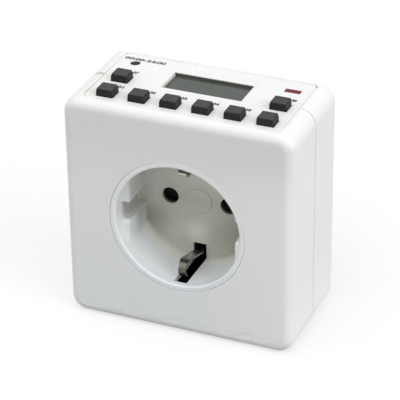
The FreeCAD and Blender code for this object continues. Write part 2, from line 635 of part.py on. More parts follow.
def socket_insert():
    body = rod_y(0, AXIS_Z, RIM_RADIUS, FRONT, FLOOR_BACK)
    body = body.cut(rod_y(0, AXIS_Z, RECESS_RADIUS, FRONT, RECESS_FLOOR))
    rim = edges_at(body, lambda v: abs(v.Y - FRONT) < 1e-6)
    inner = [edge for edge in rim if abs(edge.Curve.Radius - RECESS_RADIUS) < 1e-6]
    body = body.makeFillet(RIM_INNER_ROUND, inner)
    rim = edges_at(body, lambda v: abs(v.Y - FRONT) < 1e-6)
    outer = [edge for edge in rim if abs(edge.Curve.Radius - RIM_RADIUS) < 1e-6]
    body = body.makeFillet(RIM_OUTER_ROUND, outer)
    flange_front = SEAT + JOINT_SLACK
    flange = rod_y(0, AXIS_Z, FLANGE_RADIUS, flange_front, flange_front + SEAT_FLANGE_THICKNESS)
    flange = flange.cut(rod_y(0, AXIS_Z, RECESS_RADIUS + RECESS_WALL / 2, SEAT, EAR_FRONT))
    ribs = []
    for side in (-1, 1):
        for level in (-1, 1):
            sharp = side < 0 and level > 0
            ribs.append(guide_rib(side, level, RIB_EDGE_RADIUS if sharp else RIB_NOSE_RADIUS))
    disc = rod_y(0, AXIS_Z, CENTRE_DISC_RADIUS, RECESS_FLOOR - CENTRE_DISC_RISE, FLOOR_BACK)
    pivot = rod_y(0, AXIS_Z, PIVOT_RADIUS, RECESS_FLOOR + FLOOR_THICKNESS / 2, CARRIER_FRONT - JOINT_SLACK)
    body = body.fuse([flange, disc, pivot] + ribs)
    for side in (-1, 1):
        x = side * EAR_X
        arm_start = side * (RECESS_RADIUS + RECESS_WALL / 2)
        arm = block(min(x, arm_start), max(x, arm_start), EAR_FRONT, EAR_FRONT + EAR_THICKNESS,
                    AXIS_Z - EAR_RADIUS, AXIS_Z + EAR_RADIUS)
        ear = rod_y(x, AXIS_Z, EAR_RADIUS, EAR_FRONT, EAR_FRONT + EAR_THICKNESS)
        hole = rod_y(x, AXIS_Z, SMALL_SCREW_RADIUS + SCREW_CLEARANCE, EAR_FRONT, EAR_FRONT + EAR_THICKNESS)
        boss = rod_y(side * CARRIER_SCREW_X, AXIS_Z, CARRIER_EAR_RADIUS, FLOOR_BACK - FLOOR_THICKNESS / 2,
                     CARRIER_FRONT - JOINT_SLACK)
        pilot = rod_y(side * CARRIER_SCREW_X, AXIS_Z, SMALL_SCREW_RADIUS + SCREW_CLEARANCE,
                      FLOOR_BACK - FLOOR_THICKNESS / 2, CARRIER_FRONT)
        contact_hole = rod_y(side * PIN_PITCH / 2, AXIS_Z, CONTACT_HOLE_RADIUS, RECESS_FLOOR, FLOOR_BACK)
        body = body.fuse([arm, ear, boss]).cut([hole, pilot, contact_hole])
    half = EARTH_SLOT_WIDTH / 2
    floor_slot = block(-half, half, RECESS_FLOOR, FLOOR_BACK, AXIS_Z + EARTH_SLOT_INNER, AXIS_Z + RIM_RADIUS)
    wall_slot = block(-half, half, FRONT + EARTH_SLOT_SETBACK, FLOOR_BACK,
                      AXIS_Z + RECESS_RADIUS - RECESS_WALL, AXIS_Z + FLANGE_RADIUS)
    for slot in (floor_slot, wall_slot):
        body = body.cut([slot, mirror_z(slot)])
    return body.removeSplitter()


def socket_screws():
    seat = EAR_FRONT + EAR_THICKNESS + JOINT_SLACK
    sizes = (SMALL_SCREW_RADIUS, SMALL_SCREW_LENGTH, SMALL_HEAD_RADIUS, SMALL_HEAD_HEIGHT)
    return Part.makeCompound([screw_y(x, AXIS_Z, seat, -1, *sizes) for x in (-EAR_X, EAR_X)])


def shutter():
    """Two-winged shutter with ramps, turning on the pivot behind the outlet floor."""
    hub = rod_y(0, AXIS_Z, SHUTTER_HUB_RADIUS, SHUTTER_FRONT, SHUTTER_BACK)
    half = SHUTTER_WIDTH / 2
    wings = block(-SHUTTER_REACH, SHUTTER_REACH, SHUTTER_FRONT, SHUTTER_BACK, AXIS_Z - half, AXIS_Z + half)
    wings = wings.common(rod_y(0, AXIS_Z, SHUTTER_REACH, SHUTTER_FRONT, SHUTTER_BACK))
    body = hub.fuse(wings)
    for side in (-1, 1):
        x0, x1 = sorted((side * SHUTTER_HUB_RADIUS, side * SHUTTER_REACH))
        low, high = AXIS_Z - side * half, AXIS_Z + side * half
        wedge = [(SHUTTER_FRONT, low), (SHUTTER_FRONT, high), (SHUTTER_FRONT + SHUTTER_RAMP, high)]
        ramp = prism([V(x0, py, pz) for py, pz in wedge], [0, 0, 0], V(x1 - x0, 0, 0))
        body = body.cut(ramp)
    body = body.cut(rod_y(0, AXIS_Z, PIVOT_RADIUS + PIVOT_CLEARANCE, SHUTTER_FRONT, SHUTTER_BACK))
    return body.removeSplitter()


def arc_from(start, heading, end):
    """Arc that leaves start along heading and runs to end."""
    chord = end - start
    lean = heading.getAngle(chord)
    aside = (heading - chord * (heading.dot(chord) / chord.dot(chord))).normalize()
    return Part.Arc(start, start + chord / 2 + aside * (chord.Length / 2 * math.tan(lean / 2)), end).toShape()


def shutter_spring():
    """Torsion coil in the carrier's pocket, round the pivot's axis."""
    start_y = CARRIER_FRONT + SPRING_WIRE_RADIUS + JOINT_SLACK
    quarter = math.pi / 2
    climb = SPRING_PITCH / (2 * math.pi)

    def place(angle):
        x, rise = SPRING_RADIUS * math.cos(angle), SPRING_RADIUS * math.sin(angle)
        return V(x, start_y + climb * angle, AXIS_Z + rise)

    def heading(angle):
        return V(-SPRING_RADIUS * math.sin(angle), climb, SPRING_RADIUS * math.cos(angle)).normalize()

    edges = []
    for i in range(round(SPRING_TURNS * 4)):
        start, end = place(i * quarter), place((i + 1) * quarter)
        leave, arrive = heading(i * quarter), heading((i + 1) * quarter)
        span, lean = end - start, leave + arrive
        bend = 2 * (1 - leave.dot(arrive))
        reach = (math.sqrt(span.dot(lean) ** 2 + bend * span.dot(span)) - span.dot(lean)) / bend
        joint = (start + end + (leave - arrive) * reach) / 2
        edges.append(arc_from(start, leave, joint))
        edges.append(arc_from(end, -arrive, joint))
    section = Part.makeCircle(SPRING_WIRE_RADIUS, place(0), heading(0))
    return Part.Wire(Part.__sortEdges__(edges)).makePipeShell([Part.Wire([section])], True, False)


def contact_carrier():
    plate = rod_y(0, AXIS_Z, CARRIER_RADIUS, FLOOR_BACK + JOINT_SLACK, CARRIER_BACK)
    inner = CARRIER_RADIUS - CARRIER_RING
    body = plate.cut(rod_y(0, AXIS_Z, inner, FLOOR_BACK, CARRIER_FRONT))
    well_radius = SLEEVE_RADIUS + SLEEVE_WALL + SLEEVE_CLEARANCE
    for side in (-1, 1):
        x = side * PIN_PITCH / 2
        ear_x = side * CARRIER_SCREW_X
        arm = block(min(0, ear_x), max(0, ear_x), CARRIER_FRONT, CARRIER_BACK,
                    AXIS_Z - CARRIER_EAR_RADIUS, AXIS_Z + CARRIER_EAR_RADIUS)
        ear = rod_y(ear_x, AXIS_Z, CARRIER_EAR_RADIUS, CARRIER_FRONT, CARRIER_BACK)
        well = rod_y(x, AXIS_Z, well_radius + WELL_WALL, CARRIER_BACK, CARRIER_BACK + WELL_LENGTH)
        bore = rod_y(x, AXIS_Z, well_radius, CARRIER_BACK, CARRIER_BACK + WELL_LENGTH)
        entry = rod_y(x, AXIS_Z, CARRIER_HOLE_RADIUS, CARRIER_FRONT, CARRIER_BACK)
        hole = rod_y(ear_x, AXIS_Z, SMALL_SCREW_RADIUS + SCREW_CLEARANCE, CARRIER_FRONT, CARRIER_BACK)
        body = body.fuse([arm, ear, well]).cut([bore, entry, hole])
    pocket = rod_y(0, AXIS_Z, SPRING_POCKET_RADIUS, CARRIER_FRONT, CARRIER_FRONT + SPRING_POCKET_DEPTH)
    return body.cut(pocket).removeSplitter()


def carrier_screws():
    seat = CARRIER_BACK + JOINT_SLACK
    sizes = (SMALL_SCREW_RADIUS, SMALL_SCREW_LENGTH, SMALL_HEAD_RADIUS, SMALL_HEAD_HEIGHT)
    places = (-CARRIER_SCREW_X, CARRIER_SCREW_X)
    return Part.makeCompound([screw_y(x, AXIS_Z, seat, -1, *sizes) for x in places])


def contact_sleeve(side, tail_end):
    """Slotted sleeve that grips a plug pin, closed at the back, with a flat tail."""
    x = side * PIN_PITCH / 2
    outer = SLEEVE_RADIUS + SLEEVE_WALL
    body = rod_y(x, AXIS_Z, outer, SLEEVE_FRONT, SLEEVE_BACK + SLEEVE_END)
    body = body.cut(rod_y(x, AXIS_Z, SLEEVE_RADIUS, SLEEVE_FRONT, SLEEVE_BACK))
    half = SLEEVE_SLOT / 2
    body = body.cut(block(x - half, x + half, SLEEVE_FRONT, SLEEVE_BACK, AXIS_Z, AXIS_Z + outer))
    tail = block(x - TAIL_WIDTH / 2, x + TAIL_WIDTH / 2, SLEEVE_BACK, tail_end,
                 AXIS_Z - TAIL_THICKNESS / 2, AXIS_Z + TAIL_THICKNESS / 2)
    return body.fuse(tail).removeSplitter()


def earth_clip(curl_depth):
    """Earth clip below the axis: straight at its root behind the floor, curled round at its nose."""
    root = CARRIER_BACK - BRIDGE_CLEARANCE
    start = root - CLIP_ROOT_LENGTH
    y, z = FRONT + curl_depth, AXIS_Z - CLIP_CURL_Z
    back, drop = start - y, CLIP_ROOT_Z - CLIP_CURL_Z
    rise = math.atan2(drop, back) + math.asin(CLIP_CURL_RADIUS / math.hypot(back, drop))
    turns = [math.pi / 2 - rise] + [math.radians(turn) for turn in CLIP_CURL_TURNS]
    points = [(root, AXIS_Z - CLIP_ROOT_Z), (start, AXIS_Z - CLIP_ROOT_Z)]
    for before, after in zip(turns, turns[1:]):
        middle = (before + after) / 2
        reach = CLIP_CURL_RADIUS / math.cos((after - before) / 2)
        points.append((y + reach * math.cos(middle), z + reach * math.sin(middle)))
    leave = turns[-1]
    end_y = y + CLIP_CURL_RADIUS * math.cos(leave) - CLIP_END * math.sin(leave)
    end_z = z + CLIP_CURL_RADIUS * math.sin(leave) + CLIP_END * math.cos(leave)
    points.append((end_y, end_z))
    bends = [CLIP_ROOT_LENGTH / 2] + [CLIP_CURL_RADIUS] * len(CLIP_CURL_TURNS)
    strip = strip_x(points, bends, CLIP_THICKNESS, CLIP_WIDTH)
    nose_y = y - CLIP_CURL_RADIUS
    for side in (-1, 1):
        wedge = [(CLIP_NOSE_WIDTH / 2, nose_y), (CLIP_WIDTH / 2, nose_y + CLIP_TAPER)]
        wedge += [(CLIP_WIDTH, nose_y + CLIP_TAPER), (CLIP_WIDTH, nose_y - CLIP_THICKNESS)]
        wedge += [(CLIP_NOSE_WIDTH / 2, nose_y - CLIP_THICKNESS)]
        corners = [V(side * px, py, 0) for px, py in wedge]
        strip = strip.cut(prism(corners, [0] * len(corners), V(0, 0, AXIS_Z)))
    tip = edges_at(strip, lambda v: math.hypot(v.Y - end_y, v.Z - end_z) < CLIP_THICKNESS)
    corners = [edge for edge in tip if edge.Length < CLIP_WIDTH / 2]
    return strip.makeFillet(CLIP_END_ROUND, corners)


def earth_bridge():
    """Strip across the carrier's back whose ends turn forward beside the clip roots."""
    y = BRIDGE_FRONT + BRIDGE_THICKNESS / 2
    z = CLIP_ROOT_Z + CLIP_THICKNESS / 2 + BRIDGE_CLEARANCE + BRIDGE_THICKNESS / 2
    end = CARRIER_FRONT
    points = [(end, AXIS_Z - z), (y, AXIS_Z - z), (y, AXIS_Z + z), (end, AXIS_Z + z)]
    return strip_x(points, [BRIDGE_BEND, BRIDGE_BEND], BRIDGE_THICKNESS, BRIDGE_WIDTH)


def earth_post():
    y0 = BRIDGE_FRONT + BRIDGE_THICKNESS
    y1 = STRIP_WEB_BACK - STRIP_THICKNESS
    return rod_y(0, AXIS_Z, POST_RADIUS, y0, y1)


def plug_earth_strip():
    """U-shaped strip: both arms lie in the plug's notches, the web inside the case."""
    y = STRIP_WEB_BACK - STRIP_THICKNESS / 2
    end = REAR + STRIP_LENGTH
    points = [(end, AXIS_Z - STRIP_Z), (y, AXIS_Z - STRIP_Z), (y, AXIS_Z + STRIP_Z), (end, AXIS_Z + STRIP_Z)]
    return strip_x(points, [BRIDGE_BEND, BRIDGE_BEND], STRIP_THICKNESS, STRIP_WIDTH)


def plug_pin(side):
    x = side * PIN_PITCH / 2
    tip = PLUG_FACE + PIN_LENGTH
    pin = rod_y(x, AXIS_Z, PIN_RADIUS, PLUG_FACE, tip)
    pin = pin.makeFillet(PIN_TIP_RADIUS, edges_at(pin, lambda v: abs(v.Y - tip) < 1e-6))
    return pin.fuse(rod_y(x, AXIS_Z, PIN_COLLAR_RADIUS, PLUG_FACE - PIN_SHANK, PLUG_FACE)).removeSplitter()


def key_positions():
    """Name and plan position of every key."""
    places = [(f"front_key_{i + 1}", x, FRONT + FRONT_KEY_DEPTH) for i, x in enumerate(FRONT_KEY_XS)]
    places.append(("rear_key_left", FRONT_KEY_XS[0], FRONT + REAR_KEY_DEPTH))
    places.append(("rear_key_right", FRONT_KEY_XS[-1], FRONT + REAR_KEY_DEPTH))
    return places


def key(x, y):
    """Key cap with sloped shoulders, its plunger through the panel and its stop flange."""
    half, top_half = KEY_WIDTH / 2, KEY_TOP_WIDTH / 2
    y0, y1 = y - KEY_DEPTH / 2, y + KEY_DEPTH / 2
    shoulder, top = PANEL_TOP + KEY_SHOULDER, PANEL_TOP + KEY_RISE
    section = [(-half, KEY_BOTTOM), (half, KEY_BOTTOM), (half, shoulder), (top_half, top), (-top_half, top),
               (-half, shoulder)]
    cap = prism([V(x + px, y0, pz) for px, pz in section], [0] * len(section), V(0, y1 - y0, 0))
    cap = cap.makeFillet(KEY_ROUND, edges_at(cap, lambda v: v.Z > PANEL_TOP + KEY_SHOULDER - 1e-6))
    reach_x, reach_y = half + KEY_FLANGE, KEY_DEPTH / 2 + KEY_FLANGE
    flange = block(x - reach_x, x + reach_x, y - reach_y, y + reach_y, KEY_BOTTOM, KEY_FLANGE_TOP)
    return cap.fuse(flange).removeSplitter()


def reset_button():
    x, y = RESET_X, FRONT + RESET_DEPTH
    button = rod_z(x, y, RESET_HOLE_RADIUS - RESET_GAP, KEY_BOTTOM, PANEL_TOP - RESET_SUNK)
    button = button.makeFillet(RESET_GAP, edges_at(button, lambda v: abs(v.Z - PANEL_TOP + RESET_SUNK) < 1e-6))
    return button.fuse(rod_z(x, y, RESET_FLANGE_RADIUS, KEY_BOTTOM, KEY_FLANGE_TOP)).removeSplitter()


def window_box(margin_x, margin_y, z0, z1):
    """Box centred on the display window, grown by its margins."""
    half_x, half_y = WINDOW_WIDTH / 2 + margin_x, WINDOW_LENGTH / 2 + margin_y
    y = FRONT + WINDOW_DEPTH
    return block(WINDOW_X - half_x, WINDOW_X + half_x, y - half_y, y + half_y, z0, z1)


def glass_box(margin, z0, z1):
    y = FRONT + WINDOW_DEPTH
    half_x, half_y = GLASS_WIDTH / 2 + margin, GLASS_LENGTH / 2 + margin
    return block(WINDOW_X - half_x, WINDOW_X + half_x, y - half_y, y + half_y, z0, z1)


def lens_box(margin, z0, z1):
    y = FRONT + LENS_DEPTH
    half_x, half_y = LENS_WIDTH / 2 + margin, LENS_LENGTH / 2 + margin
    return block(LENS_X - half_x, LENS_X + half_x, y - half_y, y + half_y, z0, z1)


def control_panel():
    body = panel_plate(0, PANEL_BOTTOM, PANEL_TOP, PANEL_REAR_RADIUS)
    body = body.makeFillet(PANEL_EDGE_ROUND, edges_at(body, lambda v: abs(v.Z - PANEL_TOP) < 1e-6))
    for x, y in PANEL_POSTS:
        body = body.fuse(rod_z(x, y, PANEL_POST_RADIUS, CONTROL_BOARD_TOP + JOINT_SLACK, PANEL_BOTTOM))
        body = body.cut(rod_z(x, y, BOARD_SCREW_RADIUS + SCREW_CLEARANCE, CONTROL_BOARD_TOP, PANEL_BOTTOM))
    for _, x, y in key_positions():
        half_x, half_y = KEY_WIDTH / 2 + KEY_GAP, KEY_DEPTH / 2 + KEY_GAP
        body = body.cut(block(x - half_x, x + half_x, y - half_y, y + half_y, PANEL_BOTTOM, PANEL_TOP))
    body = body.cut(rod_z(RESET_X, FRONT + RESET_DEPTH, RESET_HOLE_RADIUS, PANEL_BOTTOM, PANEL_TOP))
    opening = FRAME_LIP + FRAME_CLEARANCE
    body = body.cut(window_box(opening, opening, PANEL_BOTTOM, PANEL_TOP))
    y = FRONT + WINDOW_DEPTH
    border_x = WINDOW_WIDTH / 2 + WINDOW_BORDER_SIDE
    border = block(WINDOW_X - border_x, WINDOW_X + border_x, y - WINDOW_LENGTH / 2 - WINDOW_BORDER_FRONT,
                   y + WINDOW_LENGTH / 2 + WINDOW_BORDER_REAR, PANEL_TOP - WINDOW_BORDER_DEPTH, PANEL_TOP)
    body = body.cut([border, glass_box(FRAME_WALL + 2 * FRAME_CLEARANCE, PANEL_BOTTOM, WINDOW_ROOF)])
    return body.cut(lens_box(LENS_GAP, PANEL_BOTTOM, PANEL_TOP)).removeSplitter()


def lcd_frame():
    """Dark frame that holds the display glass and lines the panel's window."""
    top = WINDOW_ROOF - FRAME_CLEARANCE
    body = glass_box(FRAME_WALL, CONTROL_BOARD_TOP + JOINT_SLACK, top)
    body = body.cut(glass_box(FRAME_CLEARANCE, CONTROL_BOARD_TOP, GLASS_TOP + JOINT_SLACK))
    collar = window_box(FRAME_LIP, FRAME_LIP, GLASS_TOP + JOINT_SLACK, PANEL_TOP - FRAME_SUNK)
    return body.fuse(collar).cut(window_box(0, 0, GLASS_TOP, PANEL_TOP)).removeSplitter()


def lcd_glass():
    return glass_box(0, GLASS_BOTTOM, GLASS_TOP)


def lcd_contact_strips():
    """Two rubber connector strips between the glass and the board."""
    y = FRONT + WINDOW_DEPTH
    half_x = GLASS_WIDTH / 2
    strips = []
    for side in (-1, 1):
        edge = y + side * GLASS_LENGTH / 2
        y0, y1 = sorted((edge, edge - side * CONNECTOR_STRIP_WIDTH))
        strips.append(block(WINDOW_X - half_x, WINDOW_X + half_x, y0, y1, CONTROL_BOARD_TOP, GLASS_BOTTOM))
    return Part.makeCompound(strips)


def indicator_lens():
    body = lens_box(0, PANEL_BOTTOM - JOINT_SLACK, PANEL_TOP)
    flange_top = PANEL_BOTTOM - JOINT_SLACK
    return body.fuse(lens_box(LENS_FLANGE, flange_top - LENS_FLANGE, flange_top)).removeSplitter()


def indicator_led():
    x, y = LENS_X, FRONT + LENS_DEPTH
    top = PANEL_BOTTOM - 2 * JOINT_SLACK - LENS_FLANGE - JOINT_SLACK
    stem = rod_z(x, y, LED_RADIUS, CONTROL_BOARD_TOP, top - LED_RADIUS)
    return stem.fuse(Part.makeSphere(LED_RADIUS, V(x, y, top - LED_RADIUS))).removeSplitter()


def control_board():
    margin = CONTROL_BOARD_MARGIN + LEDGE_WIDTH
    body = panel_plate(-margin, CONTROL_BOARD_BOTTOM, CONTROL_BOARD_TOP, PANEL_REAR_RADIUS)
    for x, y in PANEL_POSTS:
        hole_radius = BOARD_SCREW_RADIUS + SCREW_CLEARANCE
        body = body.cut(rod_z(x, y, hole_radius, CONTROL_BOARD_BOTTOM, CONTROL_BOARD_TOP))
    return body


def control_board_screws():
    screws = []
    seat = CONTROL_BOARD_BOTTOM - JOINT_SLACK
    for x, y in PANEL_POSTS:
        shank = rod_z(x, y, BOARD_SCREW_RADIUS, seat, seat + BOARD_SCREW_LENGTH)
        head = rod_z(x, y, BOARD_HEAD_RADIUS, seat - BOARD_HEAD_HEIGHT, seat)
        screws.append(shank.fuse(head).removeSplitter())
    return Part.makeCompound(screws)


def dome(x, y):
    height = KEY_BOTTOM - DOME_GAP - MAT_TOP
    return Part.makeCone(DOME_FOOT_RADIUS, DOME_TOP_RADIUS, height, V(x, y, MAT_TOP))


def keypad_mat():
    """Rubber sheet on the board with a dome under each key and the reset button."""
    z0, z1 = CONTROL_BOARD_TOP, MAT_TOP
    left, right = FRONT_KEY_XS[0], FRONT_KEY_XS[-1]
    reach = DOME_FOOT_RADIUS + MAT_MARGIN / 2
    y_front, y_rear = FRONT + FRONT_KEY_DEPTH, FRONT + REAR_KEY_DEPTH
    parts = [block(left - reach, right + reach, y_front - reach, y_front + reach, z0, z1)]
    parts.append(block(left - reach, left + DOME_FOOT_RADIUS, y_front, FRONT + RESET_DEPTH + reach, z0, z1))
    parts.append(block(right - DOME_FOOT_RADIUS, right + reach, y_front, y_rear + reach, z0, z1))
    parts.extend(dome(x, y) for _, x, y in key_positions())
    parts.append(dome(RESET_X, FRONT + RESET_DEPTH))
    return parts[0].fuse(parts[1:]).removeSplitter()


def backup_battery():
    z1 = CONTROL_BOARD_BOTTOM - JOINT_SLACK
    y = FLOOR_BACK + BATTERY_GAP + BATTERY_RADIUS
    body = rod_z(BATTERY_X, y, BATTERY_RADIUS, z1 - BATTERY_HEIGHT, z1)
    return body.makeFillet(BATTERY_HEIGHT / 8, edges_at(body, lambda v: abs(v.Z - z1 + BATTERY_HEIGHT) < 1e-6))


def processor_chip():
    z1 = CONTROL_BOARD_BOTTOM - JOINT_SLACK
    half = CHIP_SIZE / 2
    y = FRONT + WINDOW_DEPTH
    return block(WINDOW_X - half, WINDOW_X + half, y - half, y + half, z1 - CHIP_HEIGHT, z1)


def quartz_crystal():
    z = CONTROL_BOARD_BOTTOM - JOINT_SLACK - CRYSTAL_RADIUS
    x = WINDOW_X + CHIP_SIZE
    y = FRONT + WINDOW_DEPTH - CRYSTAL_LENGTH / 2
    return rod_y(x, z, CRYSTAL_RADIUS, y, y + CRYSTAL_LENGTH)


def power_board():
    half = POWER_BOARD_WIDTH / 2
    y0, y1 = FRONT + POWER_BOARD_FRONT, FRONT + POWER_BOARD_REAR
    return block(-half, half, y0, y1, POWER_BOARD_Z, POWER_BOARD_TOP)


def relay_box(margin, z0, z1):
    half_x, half_y = RELAY_WIDTH / 2 + margin, RELAY_LENGTH / 2 + margin
    return block(RELAY_X - half_x, RELAY_X + half_x, RELAY_Y - half_y, RELAY_Y + half_y, z0, z1)


def relay_base():
    return relay_box(-RELAY_WALL - JOINT_SLACK, POWER_BOARD_TOP, RELAY_FLOOR)


def relay_cover():
    body = relay_box(0, POWER_BOARD_TOP, POWER_BOARD_TOP + RELAY_HEIGHT)
    return body.cut(relay_box(-RELAY_WALL, POWER_BOARD_TOP, POWER_BOARD_TOP + RELAY_HEIGHT - RELAY_WALL))


def relay_coil():
    winding = rod_z(COIL_X, RELAY_Y, COIL_RADIUS, RELAY_FLOOR, COIL_TOP - COIL_FLANGE)
    return winding.fuse(rod_z(COIL_X, RELAY_Y, CORE_RADIUS, RELAY_FLOOR, COIL_TOP)).removeSplitter()


def relay_yoke():
    half = ARMATURE_WIDTH / 2
    top = ARMATURE_BOTTOM - JOINT_SLACK
    return block(YOKE_X, YOKE_X + ARMATURE_THICKNESS, RELAY_Y - half, RELAY_Y + half, RELAY_FLOOR, top)


def relay_armature():
    """Plate hinged on the yoke's top edge, with the moving contact under its free end."""
    half = ARMATURE_WIDTH / 2
    top = ARMATURE_BOTTOM + ARMATURE_THICKNESS
    plate = block(YOKE_X, ARMATURE_END_X, RELAY_Y - half, RELAY_Y + half, ARMATURE_BOTTOM, top)
    contact = rod_z(CONTACT_X, RELAY_Y, CONTACT_RADIUS, ARMATURE_BOTTOM - CONTACT_HEIGHT, ARMATURE_BOTTOM)
    return plate.fuse(contact).removeSplitter()


def relay_fixed_contact():
    """Post and contact that the moving contact closes onto."""
    top = ARMATURE_BOTTOM - CONTACT_HEIGHT - CONTACT_TRAVEL
    post = block(CONTACT_X - CONTACT_RADIUS, CONTACT_X + CONTACT_RADIUS, RELAY_Y - CONTACT_RADIUS,
                 RELAY_Y + CONTACT_RADIUS, RELAY_FLOOR, top - CONTACT_HEIGHT)
    return post.fuse(rod_z(CONTACT_X, RELAY_Y, CONTACT_RADIUS, top - CONTACT_HEIGHT, top)).removeSplitter()


def dropper_capacitor():
    x0, x1 = DROPPER_X - DROPPER_WIDTH / 2, DROPPER_X + DROPPER_WIDTH / 2
    y0 = FRONT + DROPPER_DEPTH - DROPPER_LENGTH / 2
    top = POWER_BOARD_TOP + DROPPER_HEIGHT
    return plate_z(x0, x1, y0, y0 + DROPPER_LENGTH, POWER_BOARD_TOP, top, DROPPER_CORNER, DROPPER_CORNER)


def smoothing_capacitor():
    top = POWER_BOARD_TOP + SMOOTHING_HEIGHT
    body = rod_z(SMOOTHING_X, FRONT + SMOOTHING_DEPTH, SMOOTHING_RADIUS, POWER_BOARD_TOP, top)
    return body.makeFillet(SMOOTHING_ROUND, edges_at(body, lambda v: abs(v.Z - top) < 1e-6))


def varistor():
    y = FRONT + VARISTOR_DEPTH - VARISTOR_THICKNESS / 2
    disc = rod_y(VARISTOR_X, POWER_BOARD_TOP + VARISTOR_RADIUS, VARISTOR_RADIUS, y, y + VARISTOR_THICKNESS)
    return disc.makeFillet(VARISTOR_THICKNESS / 4, edges_at(disc, lambda v: True)[0:1])


def rectifier():
    half = RECTIFIER_SIZE / 2
    y = FRONT + RECTIFIER_DEPTH
    return block(RECTIFIER_X - half, RECTIFIER_X + half, y - half / 2, y + half / 2, POWER_BOARD_TOP,
                 POWER_BOARD_TOP + RECTIFIER_HEIGHT)


def sleeve_lead(side, x_end, back):
    """Lead from the underside of a contact sleeve down to the power board."""
    x = side * PIN_PITCH / 2
    y = (CARRIER_BACK + WELL_LENGTH + SLEEVE_BACK) / 2 + WIRE_RADIUS / 2
    z = AXIS_Z - SLEEVE_RADIUS - SLEEVE_WALL - JOINT_SLACK
    y_end = REAR - back
    foot = POWER_BOARD_TOP + JOINT_SLACK
    points = [(x, y, z), (x, y, z - LEAD_DROP), (x_end, y_end, z - 2 * LEAD_DROP), (x_end, y_end, foot)]
    return tube(points, WIRE_BEND, WIRE_RADIUS)


def line_in_wire():
    """Lead from the line pin's shank, under the line sleeve, down to the power board."""
    x = PIN_PITCH / 2
    y = PLUG_FACE - PIN_SHANK - JOINT_SLACK
    y_end = REAR - LINE_IN_BACK
    points = [
        (x, y, AXIS_Z),
        (x, y - LINE_IN_RUN, AXIS_Z),
        ((x + LINE_IN_X) / 2, y - 2 * LINE_IN_RUN, AXIS_Z - LINE_IN_SAG),
        (LINE_IN_SAG_X, REAR - LINE_IN_WALL_GAP, AXIS_Z - LINE_IN_PASS),
        (LINE_IN_X, y_end, AXIS_Z - 2 * LINE_IN_SAG),
        (LINE_IN_X, y_end - JOINT_SLACK, POWER_BOARD_TOP + JOINT_SLACK),
    ]
    return tube(points, WIRE_BEND, WIRE_RADIUS)


def board_ribbon():
    """Flat ribbon from the power board up to the control board."""
    z0, z1 = POWER_BOARD_TOP + JOINT_SLACK, CONTROL_BOARD_BOTTOM - JOINT_SLACK
    y0, y1 = REAR - RIBBON_BACK, REAR - RIBBON_TOP_BACK
    points = [(y0, z0), (y0, z1 - RIBBON_REACH), (y1, z1 - RIBBON_REACH / 2), (y1, z1)]
    ribbon = strip_x(points, [RIBBON_BEND, RIBBON_BEND], RIBBON_THICKNESS, RIBBON_WIDTH)
    ribbon.translate(V(RIBBON_X, 0, 0))
    return ribbon


save("front_housing", front_housing())
save("rear_housing", rear_housing())
save("control_panel", control_panel())
save("socket_insert", socket_insert())
save("case_screws", case_screws())
save("socket_screws", socket_screws())
save("shutter", shutter())
save("shutter_spring", shutter_spring())
save("contact_carrier", contact_carrier())
save("carrier_screws", carrier_screws())
save("line_contact", contact_sleeve(1, SLEEVE_BACK + SLEEVE_END + TAIL_WIDTH))
save("neutral_contact", contact_sleeve(-1, PLUG_FACE - PIN_SHANK - JOINT_SLACK))
save("earth_clip_lower", earth_clip(CLIP_LOWER_DEPTH))
save("earth_clip_upper", mirror_z(earth_clip(CLIP_UPPER_DEPTH)))
save("earth_bridge", earth_bridge())
save("earth_post", earth_post())
save("plug_earth_strip", plug_earth_strip())
save("plug_pin_line", plug_pin(1))
save("plug_pin_neutral", plug_pin(-1))
for name, key_x, key_y in key_positions():
    save(name, key(key_x, key_y))
save("reset_button", reset_button())
save("keypad_mat", keypad_mat())
save("control_board", control_board())
save("control_board_screws", control_board_screws())
save("lcd_glass", lcd_glass())
save("lcd_frame", lcd_frame())
save("lcd_contact_strips", lcd_contact_strips())
save("indicator_lens", indicator_lens())
save("indicator_led", indicator_led())
save("backup_battery", backup_battery())
save("processor_chip", processor_chip())
save("quartz_crystal", quartz_crystal())
save("power_board", power_board())
save("relay_base", relay_base())
save("relay_cover", relay_cover())
save("relay_coil", relay_coil())
save("relay_yoke", relay_yoke())
save("relay_armature", relay_armature())
save("relay_fixed_contact", relay_fixed_contact())
save("dropper_capacitor", dropper_capacitor())
save("smoothing_capacitor", smoothing_capacitor())
save("varistor", varistor())
save("rectifier", rectifier())
save("line_in_wire", line_in_wire())
save("line_out_wire", sleeve_lead(1, LINE_OUT_X, LINE_OUT_BACK))
save("neutral_wire", sleeve_lead(-1, NEUTRAL_X, NEUTRAL_BACK))
save("board_ribbon", board_ribbon())
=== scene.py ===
import logging
import math
from dataclasses import dataclass
from enum import Enum
from typing import Any, Iterable, Union

import bmesh
import bpy
from mathutils import Matrix, Vector


